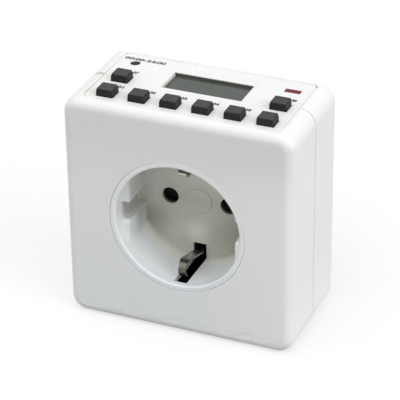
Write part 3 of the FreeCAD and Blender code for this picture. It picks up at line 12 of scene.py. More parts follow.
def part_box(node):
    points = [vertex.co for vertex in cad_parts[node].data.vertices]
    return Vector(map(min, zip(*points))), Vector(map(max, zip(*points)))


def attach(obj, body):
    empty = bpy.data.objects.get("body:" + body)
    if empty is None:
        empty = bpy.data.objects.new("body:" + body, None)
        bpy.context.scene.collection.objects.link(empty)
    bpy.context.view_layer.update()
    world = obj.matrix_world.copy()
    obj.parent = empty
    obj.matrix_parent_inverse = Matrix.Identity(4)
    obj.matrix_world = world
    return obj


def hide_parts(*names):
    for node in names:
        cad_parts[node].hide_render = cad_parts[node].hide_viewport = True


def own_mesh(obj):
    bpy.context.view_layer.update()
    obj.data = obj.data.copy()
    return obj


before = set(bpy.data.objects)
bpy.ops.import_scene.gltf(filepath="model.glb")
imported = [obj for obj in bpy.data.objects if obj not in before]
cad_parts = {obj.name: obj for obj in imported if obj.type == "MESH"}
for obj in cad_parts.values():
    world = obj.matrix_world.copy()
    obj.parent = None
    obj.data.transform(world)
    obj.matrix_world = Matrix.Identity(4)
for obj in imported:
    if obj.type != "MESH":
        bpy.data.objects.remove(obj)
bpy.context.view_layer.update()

log = logging.getLogger("plug_in_timer")

Colour = tuple[float, float, float]
Point = tuple[float, float, float]
# where a soft edge starts and where it ends
Span = tuple[float, float]
# where a strip starts, where it ends and how soft its two edges are
Strip = tuple[float, float, float]
MILLIMETRE = 0.001
CASE_BODY = "timer_body"


class Slot(Enum):
    """Names of two of the record's material slots."""

    CASE = "case_plastic"
    RUBBER = "mat_rubber"


class Axis(Enum):
    """Direction that a pattern runs along."""

    X = 0
    Y = 1
    Z = 2


@dataclass(frozen=True)
class Signal:
    """One shader socket that takes part in Python arithmetic."""

    board: "ShaderBoard"
    socket: bpy.types.NodeSocket

    def _math(self, operation: str, first: "Value", second: "Value") -> "Signal":
        """Add a Math node on two values."""
        return self.board.node("ShaderNodeMath", {"operation": operation}, {0: first, 1: second})

    def __add__(self, other: "Value") -> "Signal":
        """Sum of two values."""
        return self._math("ADD", self, other)

    def __radd__(self, other: "Value") -> "Signal":
        """Sum of two values."""
        return self._math("ADD", other, self)

    def __sub__(self, other: "Value") -> "Signal":
        """Difference of two values."""
        return self._math("SUBTRACT", self, other)

    def __rsub__(self, other: "Value") -> "Signal":
        """Difference of two values."""
        return self._math("SUBTRACT", other, self)

    def __mul__(self, other: "Value") -> "Signal":
        """Product of two values."""
        return self._math("MULTIPLY", self, other)

    def __rmul__(self, other: "Value") -> "Signal":
        """Product of two values."""
        return self._math("MULTIPLY", other, self)

    def __truediv__(self, other: "Value") -> "Signal":
        """Quotient of two values."""
        return self._math("DIVIDE", self, other)

    def __pow__(self, other: "Value") -> "Signal":
        """Power of a value."""
        return self._math("POWER", self, other)

    def __mod__(self, other: "Value") -> "Signal":
        """Place within a repeat, never negative."""
        return self._math("FLOORED_MODULO", self, other)

    def __abs__(self) -> "Signal":
        """Size of a value without its sign."""
        return self._math("ABSOLUTE", self, 0.0)

    def most(self, other: "Value") -> "Signal":
        """The larger of two values."""
        return self._math("MAXIMUM", self, other)

    def sine(self) -> "Signal":
        """Sine of an angle in radians."""
        return self._math("SINE", self, 0.0)

    def _ramp(self, low: float, high: float, start: float, end: float) -> "Signal":
        """Mask that goes smoothly from start at low to end at high."""
        settings = {"interpolation_type": "SMOOTHSTEP"}
        return self.board.node("ShaderNodeMapRange", settings, {0: self, 1: low, 2: high, 3: start, 4: end})

    def rise(self, low: float, high: float) -> "Signal":
        """Mask that goes smoothly from 0 at low to 1 at high."""
        return self._ramp(low, high, 0.0, 1.0)

    def fall(self, low: float, high: float) -> "Signal":
        """Mask that goes smoothly from 1 at low to 0 at high."""
        return self._ramp(low, high, 1.0, 0.0)

    def between(self, low: float, high: float, soft: float) -> "Signal":
        """Mask that is 1 from low to high, with soft edges."""
        return self.rise(low - soft, low + soft) * self.fall(high - soft, high + soft)


Value = Union[float, Signal]
Paint = Union[Colour, Signal]


def length(across: Signal, up: Signal) -> Signal:
    """Length of a step that goes across and up."""
    return (across * across + up * up) ** 0.5


@dataclass(frozen=True)
class Tone:
    """A colour that is laid over another one, and how much of that one it hides."""

    colour: Colour
    strength: float


@dataclass(frozen=True)
class Patch:
    """A round patch seen from the front: its middle and the radii between which it fades, in millimetres."""

    across: float
    up: float
    inner: float
    outer: float

    def mask(self, x: Signal, z: Signal) -> Signal:
        """Mask that is 1 in the patch."""
        return length(x - self.across, z - self.up).fall(self.inner, self.outer)


class ShaderBoard:
    """The node board of one material or of the world."""

    def __init__(self, owner: Union[bpy.types.Material, bpy.types.World]) -> None:
        """Start with an empty board.

        Args:
            owner: The material or world that the board belongs to.
        """
        self.owner = owner
        owner.use_nodes = True
        self.nodes = owner.node_tree.nodes
        self.links = owner.node_tree.links
        self.nodes.clear()

    def node(self, kind: str, settings: dict[str, Any], inputs: dict[Any, Any], output: Any = 0) -> Signal:
        """Add one node and connect it.

        Args:
            kind: Blender's name of the node type.
            settings: Options of the node, set before its sockets.
            inputs: Values or signals by socket name or number.
            output: Name or number of the socket that is returned.

        Returns:
            The chosen output socket.
        """
        made = self.nodes.new(kind)
        for option, setting in settings.items():
            setattr(made, option, setting)
        for key, value in inputs.items():
            socket = made.inputs[key]
            if isinstance(value, Signal):
                self.links.new(value.socket, socket)
            elif socket.type == "RGBA":
                socket.default_value = (*value, 1.0)
            else:
                socket.default_value = value
        return Signal(self, made.outputs[output])

    def place(self) -> Signal:
        """Place on the piece, in millimetres of the timer's own frame."""
        point = self.node("ShaderNodeTexCoord", {}, {}, "Object")
        return self.node("ShaderNodeVectorMath", {"operation": "SCALE"}, {0: point, "Scale": 1 / MILLIMETRE})

    def along(self, axis: Axis) -> Signal:
        """Place along one axis, in millimetres."""
        return self.node("ShaderNodeSeparateXYZ", {}, {0: self.place()}, axis.value)

    def axes(self) -> tuple[Signal, ...]:
        """Places along the three axes, in millimetres."""
        return tuple(self.along(axis) for axis in Axis)

    def moved(self, shift: Point, scale: Point) -> Signal:
        """Place on the piece, moved and then scaled along each axis."""
        point = self.node("ShaderNodeVectorMath", {"operation": "ADD"}, {0: self.place(), 1: shift})
        return self.node("ShaderNodeVectorMath", {"operation": "MULTIPLY"}, {0: point, 1: scale})

    def noise(
        self, size: float, detail: float = 2.0, shift: float = 0.0, stretch: Point = (1.0, 1.0, 1.0)
    ) -> Signal:
        """Soft noise between 0 and 1.

        Args:
            size: Size of one patch in millimetres.
            detail: How many finer layers it has.
            shift: Moves the pattern, so that two patterns differ.
            stretch: How many times longer the patches are along each axis.

        Returns:
            The noise.
        """
        scale = tuple(1 / (size * longer) for longer in stretch)
        point = self.moved((shift, shift, shift), scale)
        return self.node("ShaderNodeTexNoise", {}, {"Vector": point, "Scale": 1.0, "Detail": detail})

    def specks(self, spacing: float, radius: float, share: float) -> Signal:
        """Small round marks, one in some of the cells of an uneven lattice.

        Args:
            spacing: Mean distance between cells in millimetres.
            radius: Radius of a mark in millimetres.
            share: Share of the cells that hold a mark.

        Returns:
            Mask that is 1 in the marks.
        """
        point = self.moved((0.0, 0.0, 0.0), (1 / spacing,) * 3)
        settings = {"feature": "F1"}
        inputs = {"Vector": point, "Scale": 1.0}
        distance = self.node("ShaderNodeTexVoronoi", settings, inputs, "Distance")
        tint = self.node("ShaderNodeTexVoronoi", settings, inputs, "Color")
        draw = self.node("ShaderNodeSeparateColor", {}, {0: tint}, 0)
        return distance.fall(radius / spacing / 2, radius / spacing) * draw.fall(share, share + 0.01)

    def blend(self, mask: Value, first: Paint, second: Paint) -> Signal:
        """Mix two colours: the first where the mask is 0, the second where it is 1."""
        settings = {"data_type": "RGBA"}
        return self.node("ShaderNodeMix", settings, {0: mask, 6: first, 7: second}, 2)

    def lay(self, tone: Tone, mask: Signal, colour: Paint) -> Signal:
        """Lay a tone over a colour where the mask is 1."""
        return self.blend(mask * tone.strength, colour, tone.colour)

    def bump(self, height: Value) -> Signal:
        """Bend the surface by a height in millimetres."""
        return self.node("ShaderNodeBump", {}, {"Height": height, "Distance": MILLIMETRE})

    def seen_directly(self) -> Signal:
        """Tell what is looked at directly from what only lights other things.

        Returns:
            Mask that is 1 for the camera, for mirror images and for what is seen through glass.
        """
        rays = ("Is Camera Ray", "Is Glossy Ray", "Is Transmission Ray")
        camera, mirror, through = (self.node("ShaderNodeLightPath", {}, {}, ray) for ray in rays)
        return camera.most(mirror).most(through)

    def surface(self, sockets: dict[str, Any]) -> None:
        """Finish the board with the standard surface shader, given its sockets' values or signals."""
        self.finish(self.node("ShaderNodeBsdfPrincipled", {}, sockets))

    def finish(self, shader: Signal) -> None:
        """Join a shader to the board's output.

        Args:
            shader: The shader's socket.
        """
        for_world = isinstance(self.owner, bpy.types.World)
        output = self.nodes.new("ShaderNodeOutputWorld" if for_world else "ShaderNodeOutputMaterial")
        self.links.new(shader.socket, output.inputs["Surface"])


@dataclass(frozen=True)
class Finish:
    """A finish that some pieces share."""

    name: str

    def material(self) -> bpy.types.Material:
        """Make the material.

        Returns:
            The finish as a material.
        """
        owner = bpy.data.materials.new(self.name)
        self.paint(ShaderBoard(owner))
        return owner

    def paint(self, board: ShaderBoard) -> None:
        """Lay out the shader on a board."""
        raise NotImplementedError


@dataclass(frozen=True)
class MouldedPlastic(Finish):
    """Injection-moulded plastic with a fine spark-eroded grain, uneven shade and a little dust."""

    colour: Colour
    drift: Colour
    drift_size: float = 24.0
    roughness: float = 0.42
    grain: float = 0.22
    grain_depth: float = 0.004
    flow_depth: float = 0.02
    dust: Colour = (0.2, 0.19, 0.17)
    dust_share: float = 0.12
    gloss: float = 0.5
    drift_edges: Span = (0.38, 0.68)
    patch_share: float = 0.7
    mottle_share: float = 0.3
    mottles_across: float = 9.0
    dust_spacing: float = 9.0
    dust_radius: float = 0.11
    dust_strength: float = 0.7
    polish: float = 0.06
    mottle_wear: float = 0.08
    grain_wear: float = 0.04

    def tint(self, board: ShaderBoard, colour: Signal) -> Signal:
        """Colour of the places that this plastic treats in its own way."""
        return colour

    def paint(self, board: ShaderBoard) -> None:
        """Lay out the plastic's shader.

        Args:
            board: The board that it goes on.
        """
        patches = board.noise(self.drift_size).rise(*self.drift_edges)
        mottle = board.noise(self.drift_size / self.mottles_across, detail=3.0, shift=31.0)
        shade = patches * self.patch_share + mottle * self.mottle_share
        colour = board.blend(shade, self.colour, self.drift)
        dust = board.specks(self.dust_spacing, self.dust_radius, self.dust_share)
        colour = board.blend(dust * self.dust_strength, colour, self.dust)
        colour = self.tint(board, colour)
        grain = board.noise(self.grain, shift=7.0)
        flow = board.noise(self.drift_size / 2, detail=1.0, shift=53.0)
        roughness = self.roughness - self.polish + mottle * self.mottle_wear + grain * self.grain_wear
        bend = board.bump(grain * self.grain_depth + flow * self.flow_depth)
        sockets = {"Base Color": colour, "Roughness": roughness, "Normal": bend}
        board.surface({**sockets, "Specular IOR Level": self.gloss})


@dataclass(frozen=True)
class CasePlastic(MouldedPlastic):
    """The case's white plastic, with painted light and shade on its front and what lies along its joints.

    The front has painted shade at the top, painted cool shade low down, painted light towards the right and
    scuffs at its foot, and the right side has painted light low down. Dirt lies in the seam and round the
    control panel, painted light fills the shadow in the gaps, and painted shade lies where the seam steps at
    its left end and in the notch beside the panel's right rear corner.
    """

    front: float = -18.85
    front_depth: float = 2.0
    # painted shade at the top of the front, painted cool shade low on it and painted light towards its right
    front_painted_shade: Tone = Tone((0.70, 0.71, 0.70), 0.5)
    front_painted_shade_above: Span = (44.0, 68.0)
    front_painted_cool_shade: Tone = Tone((0.760, 0.785, 0.800), 0.8)
    front_painted_cool_shade_below: Span = (8.0, 45.0)
    front_painted_light: Tone = Tone((0.86, 0.865, 0.865), 0.7)
    front_painted_light_right: Span = (0.0, 34.0)
    front_painted_light_below: Span = (50.0, 66.0)
    # painted light low on the right side, standing in for the floor's bounce
    pale: Tone = Tone((0.88, 0.885, 0.885), 0.8)
    painted_side_light_across: Span = (34.5, 36.0)
    painted_side_light_below: Span = (0.0, 26.0)
    scuffed: Tone = Tone((0.58, 0.58, 0.565), 0.3)
    scuffed_below: Span = (4.0, 11.0)
    scuff_size: float = 2.6
    scuff_shape: Point = (2.5, 1.0, 0.7)
    scuff_edges: Span = (0.56, 0.72)
    # painted light that fills the shadow in the gaps round the outlet's ring and round the panel
    gap: Colour = (0.93, 0.93, 0.88)
    axis_height: float = 36.5
    ring_edge: Strip = (21.3, 21.9, 0.1)
    ring_lit: Span = (-10.0, 5.0)
    ring_strength: float = 0.9
    top: Span = (71.0, 72.2)
    dirt: Colour = (0.52, 0.52, 0.38)
    dirt_size: float = 1.4
    dirt_edges: Span = (0.3, 0.7)
    seam: float = 0.05
    seam_line: Span = (0.15, 0.3)
    seam_below: Span = (66.0, 70.0)
    seam_least: float = 0.18
    seam_patchy: float = 0.17
    beside_panel: Span = (30.9, 31.1)
    # painted shade where the seam steps at its left end, as a band
    cream: Tone = Tone((0.56, 0.58, 0.45), 0.9)
    cream_line: Span = (0.7, 1.1)
    cream_across: Strip = (-33.4, -31.0, 0.3)
    panel_middle: float = 0.2
    panel_half: float = 31.0
    panel_front: float = -16.2
    panel_rear: float = 15.85
    panel_corner: float = 3.0
    gap_line: Span = (0.1, 0.16)
    panel_line: Span = (0.12, 0.3)
    panel_line_end: Span = (14.85, 15.45)
    line_least: float = 0.1
    line_patchy: float = 0.1
    line_right: Span = (25.0, 30.0)
    line_more: float = 0.25
    # painted shade speck where the seam steps at its left end
    painted_step_shade_speck: Colour = (0.30, 0.32, 0.23)
    speck_line: Span = (0.25, 0.4)
    speck_across: Strip = (-33.5, -32.9, 0.2)
    # painted shade in the gap at the notch beside the panel's right rear corner
    painted_notch_shade: Tone = Tone((0.16, 0.17, 0.09), 0.8)
    notch_x: float = 31.1
    notch_y: float = 14.7
    notch_slant: float = 0.6
    notch_tilt: float = 0.3
    notch_narrow: float = 5.0
    notch_edges: Span = (0.2, 0.6)

    def tint(self, board: ShaderBoard, colour: Signal) -> Signal:
        """Lay the front's painted light and shade and then the dirt, painted light and painted shade along
        the joints over the white.
        """
        x, y, z = board.axes()
        return self.soil_joints(board, self.tone_front(board, colour, x, y, z), x, y, z)

    def tone_front(self, board: ShaderBoard, colour: Signal, x: Signal, y: Signal, z: Signal) -> Signal:
        """Lay the painted light and shade and the scuffs of the front, the painted light low on the right
        side and painted light in the gap round the outlet's ring.

        Args:
            board: The board that they go on.
            colour: The plain plastic.
            x: Place across.
            y: Place from front to back.
            z: Height.

        Returns:
            The toned plastic.
        """
        ahead = y.fall(self.front, self.front + self.front_depth)
        # painted shade at the top of the front, painted cool shade low on it and painted light towards its
        # right
        colour = board.lay(self.front_painted_shade, z.rise(*self.front_painted_shade_above) * ahead, colour)
        colour = board.lay(self.front_painted_cool_shade, z.fall(*self.front_painted_cool_shade_below) * ahead, colour)
        front_painted_light = x.rise(*self.front_painted_light_right) * z.fall(*self.front_painted_light_below)
        colour = board.lay(self.front_painted_light, front_painted_light * ahead, colour)
        # painted light low on the right side, standing in for the floor's bounce
        colour = board.lay(self.pale, x.rise(*self.painted_side_light_across) * z.fall(*self.painted_side_light_below), colour)
        scuffs = board.noise(self.scuff_size, detail=4.0, shift=47.0, stretch=self.scuff_shape)
        scuffs = scuffs.rise(*self.scuff_edges)
        colour = board.lay(self.scuffed, scuffs * z.fall(*self.scuffed_below) * ahead, colour)
        # painted light over the shadow in the gap round the outlet's ring, on its right
        ring = length(x, z - self.axis_height).between(*self.ring_edge)
        return board.blend(ring * ahead * x.rise(*self.ring_lit) * self.ring_strength, colour, self.gap)

    def soil_joints(self, board: ShaderBoard, colour: Signal, x: Signal, y: Signal, z: Signal) -> Signal:
        """Soil the seam and the line round the control panel, paint light over the shadow in the gap there,
        and paint shade where the seam steps and in the notch beside the panel.

        Args:
            board: The board that it goes on.
            colour: The clean plastic.
            x: Place across.
            y: Place from front to back.
            z: Height.

        Returns:
            The soiled plastic.
        """
        top = z.rise(*self.top)
        patchy = board.noise(self.dirt_size, shift=11.0).rise(*self.dirt_edges)
        from_seam = abs(y - self.seam)
        beside = abs(x - self.panel_middle).rise(*self.beside_panel)
        seam = from_seam.fall(*self.seam_line) * (self.seam_least + patchy * self.seam_patchy)
        colour = board.blend(seam * beside.most(z.fall(*self.seam_below)), colour, self.dirt)
        # painted shade band where the seam steps at its left end
        band = from_seam.fall(*self.cream_line) * x.between(*self.cream_across)
        colour = board.lay(self.cream, band * top, colour)
        # painted light over the shadow in the gap round the panel
        edge = abs(self.from_panel(x, y))
        colour = board.blend(edge.fall(*self.gap_line) * top, colour, self.gap)
        line = edge.fall(*self.panel_line) * y.fall(*self.panel_line_end)
        strength = self.line_least + patchy * self.line_patchy + x.rise(*self.line_right) * self.line_more
        colour = board.blend(line * top * strength, colour, self.dirt)
        # painted shade speck where the seam steps at its left end
        painted_step_shade_speck = from_seam.fall(*self.speck_line) * x.between(*self.speck_across)
        colour = board.blend(painted_step_shade_speck * top, colour, self.painted_step_shade_speck)
        # painted shade in the gap at the notch beside the panel's right rear corner
        return board.lay(self.painted_notch_shade, self.rear_notch(x, y) * top, colour)

    def from_panel(self, x: Signal, y: Signal) -> Signal:
        """Distance outside the control panel's outline, negative inside it.

        Args:
            x: Place across.
            y: Place from front to back.

        Returns:
            The distance in millimetres.
        """
        across = (abs(x - self.panel_middle) - (self.panel_half - self.panel_corner)).most(0.0)
        ahead = ((self.panel_front + self.panel_corner) - y).most(0.0)
        round_front = length(across, ahead) - self.panel_corner
        return round_front.most(y - self.panel_rear)

    def rear_notch(self, x: Signal, y: Signal) -> Signal:
        """Mask of the painted shade in the notch beside the panel's right rear corner.

        Args:
            x: Place across.
            y: Place from front to back.

        Returns:
            Mask that is 1 in the notch.
        """
        across = (x - self.notch_x) + (y - self.notch_y) * self.notch_slant
        along = (y - self.notch_y) - (x - self.notch_x) * self.notch_tilt
        return (across * across * self.notch_narrow + along * along).fall(*self.notch_edges)


@dataclass(frozen=True)
class OutletPlastic(MouldedPlastic):
    """The outlet's smoother plastic, with painted light and shade on its ring, ribs and wall and on the floor
    of its cup.

    The floor has painted shade, deepest at its left, its right and under the disc, with painted light high
    up, a painted pool of light low in its middle and painted greenish light at its upper left. What lies
    behind the floor is painted black as shade.
    """

    axis_height: float = 36.5
    cup_depth: Span = (-17.0, -14.0)
    # painted cool shade on the ring's lower part
    ring_painted_cool_shade: Tone = Tone((0.74, 0.775, 0.81), 0.9)
    ring_painted_cool_shade_below: Span = (16.0, 30.0)
    # painted light high on the cup's wall
    painted_wall_light: Tone = Tone((0.93, 0.95, 0.94), 0.6)
    painted_wall_light_above: Span = (44.0, 54.0)
    # painted cool light low in the cup
    painted_cool_light: Tone = Tone((0.80, 0.850, 0.872), 0.9)
    painted_cool_light_below: Span = (20.0, 36.0)
    # painted shade on the left guide ribs, in the gap between them and at the floor's left
    painted_shade: Colour = (0.36, 0.365, 0.32)
    rib_side: Span = (-15.5, -14.5)
    rib_front: Span = (-14.95, -13.0)
    rib_step: Span = (33.0, 33.4)
    upper_rib_strength: float = 0.45
    lower_rib_strength: float = 0.8
    lower_rib_foot: Span = (22.0, 27.0)
    lower_rib_front: Span = (-13.0, -7.0)
    rib_gap: Strip = (33.4, 39.6, 0.2)
    rib_gap_front: Span = (-14.95, -12.0)
    rib_gap_strength: float = 0.8
    cream: Tone = Tone((0.86, 0.81, 0.68), 0.55)
    foot_radius: Span = (19.4, 19.75)
    foot_below: Span = (26.0, 34.0)
    foot_depth: Span = (-9.0, -3.0)
    foot_clear: float = 0.6
    floor_depth: Span = (-3.2, -2.0)
    # painted shade over the cup's floor, with painted light high up and a painted pool of light low in its
    # middle
    deep: Colour = (0.53, 0.518, 0.435)
    upper: Colour = (0.77, 0.765, 0.675)
    upper_above: Span = (36.0, 46.0)
    lit: Patch = Patch(-1.2, 25.5, 0.0, 6.0)
    lit_strength: float = 0.7
    floor_least: float = 0.8
    floor_cloud: float = 0.2
    floor_cloud_size: float = 7.0
    # painted shade at the floor's left, beside the guide ribs
    painted_shade_left: Patch = Patch(-16.0, 28.0, 0.0, 9.0)
    painted_shade_strength: float = 0.9
    # painted shade at the floor's right and painted shadow under the disc's lower edge
    painted_floor_shade: Colour = (0.32, 0.31, 0.26)
    painted_shade_right: Patch = Patch(17.0, 26.0, 2.0, 17.0)
    # painted greenish light in the floor's upper left corner, over its shade
    green: Tone = Tone((0.86, 0.91, 0.86), 0.45)
    green_corner: Patch = Patch(-18.5, 38.5, 2.0, 11.0)
    disc_edge: Strip = (4.0, 4.3, 0.12)
    disc_slant: float = 0.3
    disc_low: Span = (34.0, 37.5)
    disc_shadow_strength: float = 0.6
    hole_across: float = 9.5
    hole_edge: Strip = (2.7, 3.4, 0.2)
    scuff_size: float = 0.3
    scuff_shape: Point = (1.0, 1.0, 5.0)
    scuff_edges: Span = (0.52, 0.62)
    scuff_strength: float = 0.15
    # painted black shade behind the floor's surface, inside the holes
    behind: Span = (-1.3, 0.0)
    shade: Tone = Tone((0.014, 0.014, 0.013), 0.95)

    def tint(self, board: ShaderBoard, colour: Signal) -> Signal:
        """Lay the painted light and shade of the ring, the wall and the floor and the cream tint at the
        wall's foot, and paint black shade over what lies behind the floor.

        Args:
            board: The board that they go on.
            colour: The plain plastic.

        Returns:
            The toned plastic.
        """
        x, y, z = board.axes()
        colour = self.tone_wall(board, colour, x, y, z)
        foot = length(x, z - self.axis_height).rise(*self.foot_radius) * z.fall(*self.foot_below)
        colour = board.lay(self.cream, foot * y.rise(*self.foot_depth), colour)
        depth = y.rise(*self.floor_depth) * (1 - foot * self.foot_clear)
        colour = self.tone_floor(board, colour, depth, x, z)
        colour = self.scuff_holes(board, colour, depth, x, z)
        # painted black shade behind the floor's surface, inside the holes
        return board.lay(self.shade, y.rise(*self.behind), colour)

    def tone_wall(self, board: ShaderBoard, colour: Signal, x: Signal, y: Signal, z: Signal) -> Signal:
        """Lay the painted light and shade of the ring, the cup's wall and its left guide ribs.

        Args:
            board: The board that they go on.
            colour: The plain plastic.
            x: Place across.
            y: Place from front to back.
            z: Height.

        Returns:
            The toned plastic.
        """
        # painted shade on the left guide ribs and in the gap between them
        upper_rib = z.rise(*self.rib_step) * self.upper_rib_strength
        lower_rib = z.fall(*self.rib_step) * z.rise(*self.lower_rib_foot) * y.rise(*self.lower_rib_front)
        ribs = upper_rib.most(lower_rib * self.lower_rib_strength) * y.rise(*self.rib_front)
        gap = z.between(*self.rib_gap) * y.rise(*self.rib_gap_front)
        within = y.rise(*self.cup_depth)
        # painted cool shade on the ring's lower part and painted light high on the cup's wall
        colour = board.lay(self.ring_painted_cool_shade, z.fall(*self.ring_painted_cool_shade_below) * (1 - within), colour)
        colour = board.lay(self.painted_wall_light, z.rise(*self.painted_wall_light_above) * within, colour)
        shaded = x.fall(*self.rib_side) * ribs.most(gap * self.rib_gap_strength)
        colour = board.blend(shaded, colour, self.painted_shade)
        # painted cool light low in the cup
        return board.lay(self.painted_cool_light, z.fall(*self.painted_cool_light_below) * within, colour)

    def tone_floor(self, board: ShaderBoard, colour: Signal, depth: Signal, x: Signal, z: Signal) -> Signal:
        """Lay the painted light and shade of the cup's floor and the painted shadow under its disc.

        Args:
            board: The board that they go on.
            colour: The wall's plastic.
            depth: Mask that is 1 on the floor.
            x: Place across.
            z: Height.

        Returns:
            The toned plastic.
        """
        # painted shade over the floor, patchy, with painted light high up and a painted pool of light low in
        # its middle
        cloud = board.noise(self.floor_cloud_size, shift=3.0)
        light = z.rise(*self.upper_above).most(self.lit.mask(x, z) * self.lit_strength)
        floor = board.blend(light, self.deep, self.upper)
        colour = board.blend(depth * (self.floor_least + cloud * self.floor_cloud), colour, floor)
        # painted shade at the floor's left, beside the guide ribs
        colour = board.blend(depth * self.painted_shade_left.mask(x, z) * self.painted_shade_strength, colour, self.painted_shade)
        # painted shade at the floor's right
        colour = board.blend(depth * self.painted_shade_right.mask(x, z), colour, self.painted_floor_shade)
        # painted greenish light in the floor's upper left corner, over its shade
        colour = board.lay(self.green, depth * self.green_corner.mask(x, z), colour)
        # painted shadow under the disc's lower edge
        painted_disc_shadow = length(x, z - self.axis_height).between(*self.disc_edge)
        painted_disc_shadow = painted_disc_shadow * (z - x * self.disc_slant).fall(*self.disc_low)
        return board.blend(painted_disc_shadow * depth * self.disc_shadow_strength, colour, self.painted_floor_shade)

    def scuff_holes(self, board: ShaderBoard, colour: Signal, depth: Signal, x: Signal, z: Signal) -> Signal:
        """Scuff the floor round the two contact holes.

        Args:
            board: The board that it goes on.
            colour: The floor's plastic.
            depth: Mask that is 1 on the floor.
            x: Place across.
            z: Height.

        Returns:
            The scuffed plastic.
        """
        from_hole = length(abs(abs(x) - self.hole_across), z - self.axis_height)
        scuffs = board.noise(self.scuff_size, detail=3.0, shift=17.0, stretch=self.scuff_shape)
        scuffs = scuffs.rise(*self.scuff_edges)
        rim = from_hole.between(*self.hole_edge)
        return board.blend(rim * scuffs * depth * self.scuff_strength, colour, self.dust)


@dataclass(frozen=True)
class KeyPlastic(MouldedPlastic):
    """The keys' near-black plastic, worn by fingers, with a painted sheen on the top of each cap."""

    cap: Span = (74.93, 75.26)
    # painted sheen on the caps' tops, with patches of finger wear
    rubbed_and_painted_sheen: Colour = (0.052, 0.053, 0.053)
    rub_size: float = 1.6
    rub_edges: Span = (0.35, 0.65)
    painted_sheen_least: float = 0.7
    rub_patchy: float = 0.25

    def tint(self, board: ShaderBoard, colour: Signal) -> Signal:
        """Paint a sheen over the top of each cap, with patches of finger wear in it.

        Args:
            board: The board that it goes on.
            colour: The plain plastic.

        Returns:
            The plastic with its worn top and painted sheen.
        """
        top = board.along(Axis.Z).rise(*self.cap)
        patchy = board.noise(self.rub_size, detail=3.0, shift=5.0).rise(*self.rub_edges)
        # painted sheen on the caps' tops, with patches of finger wear
        return board.blend(top * (self.painted_sheen_least + patchy * self.rub_patchy), colour, self.rubbed_and_painted_sheen)


@dataclass(frozen=True)
class FramePlastic(MouldedPlastic):
    """The display frame's grey plastic, with painted shade on its side behind the glass and painted light on
    its left side.
    """

    rear: Span = (8.0, 8.4)
    left: Span = (-10.8, -10.4)
    # painted shade on the side behind the glass and painted light on the left side
    painted_rear_shade: Colour = (0.085, 0.087, 0.080)
    pale: Colour = (0.50, 0.51, 0.47)

    def tint(self, board: ShaderBoard, colour: Signal) -> Signal:
        """Paint light on the left side and shade on the side behind the glass."""
        # painted light on the left side and painted shade on the side behind the glass
        colour = board.blend(board.along(Axis.X).fall(*self.left), colour, self.pale)
        return board.blend(board.along(Axis.Y).rise(*self.rear), colour, self.painted_rear_shade)


@dataclass(frozen=True)
class WorkedMetal(Finish):
    """Sheet, wire or turned metal with tool marks, tarnish and handling marks."""

    colour: Colour
    tarnish: Colour
    roughness: float = 0.28
    tarnish_edges: Span = (0.45, 0.7)
    tarnish_size: float = 2.5
    marks: Point = (1.0, 40.0, 1.0)
    marks_size: float = 0.07
    marks_depth: float = 0.0012
    marks_strength: float = 0.25
    marks_wear: float = 0.1
    tarnish_wear: float = 0.16
    pit_spacing: float = 1.1
    pit_radius: float = 0.09
    pit_share: float = 0.35
    pit_wear: float = 0.2
    pit_depth: float = 0.01
    swell_depth: float = 0.004

    def tint(self, board: ShaderBoard, colour: Signal) -> Signal:
        """Colour of the places that this metal treats in its own way."""
        return colour

    def paint(self, board: ShaderBoard) -> None:
        """Lay out the metal's shader.

        Args:
            board: The board that it goes on.
        """
        lines = board.noise(self.marks_size, shift=2.0, stretch=self.marks)
        cloud = board.noise(self.tarnish_size, detail=4.0, shift=19.0)
        stain = cloud.rise(*self.tarnish_edges)
        pits = board.specks(self.pit_spacing, self.pit_radius, self.pit_share)
        colour = board.blend(stain, self.colour, self.tarnish)
        colour = self.tint(board, board.blend(lines * self.marks_strength, colour, self.tarnish))
        roughness = self.roughness + stain * self.tarnish_wear + lines * self.marks_wear
        roughness = roughness + pits * self.pit_wear
        bend = board.bump(lines * self.marks_depth - pits * self.pit_depth + cloud * self.swell_depth)
        board.surface({"Base Color": colour, "Metallic": 1.0, "Roughness": roughness, "Normal": bend})


@dataclass(frozen=True)
class ClipMetal(WorkedMetal):
    """The earth clips' sheet metal: the lower nose brown with tarnish and painted shade, the upper clip with
    painted light, and painted shadow at the upper clip's tip.
    """

    nose: Span = (-13.5, -11.0)
    middle: Span = (35.5, 37.5)
    tip: Span = (52.3, 52.9)
    # tarnish and painted shade on the lower nose, painted light on the upper clip, painted shadow at its tip
    nose_tarnish_and_painted_shade: Tone = Tone((0.105, 0.094, 0.080), 0.9)
    upper_clip_painted_light: Tone = Tone((0.62, 0.62, 0.55), 0.8)
    tip_painted_shadow: Tone = Tone((0.03, 0.028, 0.025), 0.95)

    def tint(self, board: ShaderBoard, colour: Signal) -> Signal:
        """Brown the lower clip's nose with tarnish and painted shade, paint light on the upper clip and paint
        black shadow on its tip.

        Args:
            board: The board that it goes on.
            colour: The plain metal.

        Returns:
            The toned metal.
        """
        nose = board.along(Axis.Y).fall(*self.nose)
        lower = board.along(Axis.Z).fall(*self.middle)
        tip = board.along(Axis.Z).rise(*self.tip)
        # tarnish and painted shade on the lower clip's nose
        colour = board.lay(self.nose_tarnish_and_painted_shade, nose * lower, colour)
        # painted light on the upper clip
        colour = board.lay(self.upper_clip_painted_light, 1 - lower, colour)
        # painted shadow of the slot on the upper clip's tip
        return board.lay(self.tip_painted_shadow, nose * tip, colour)


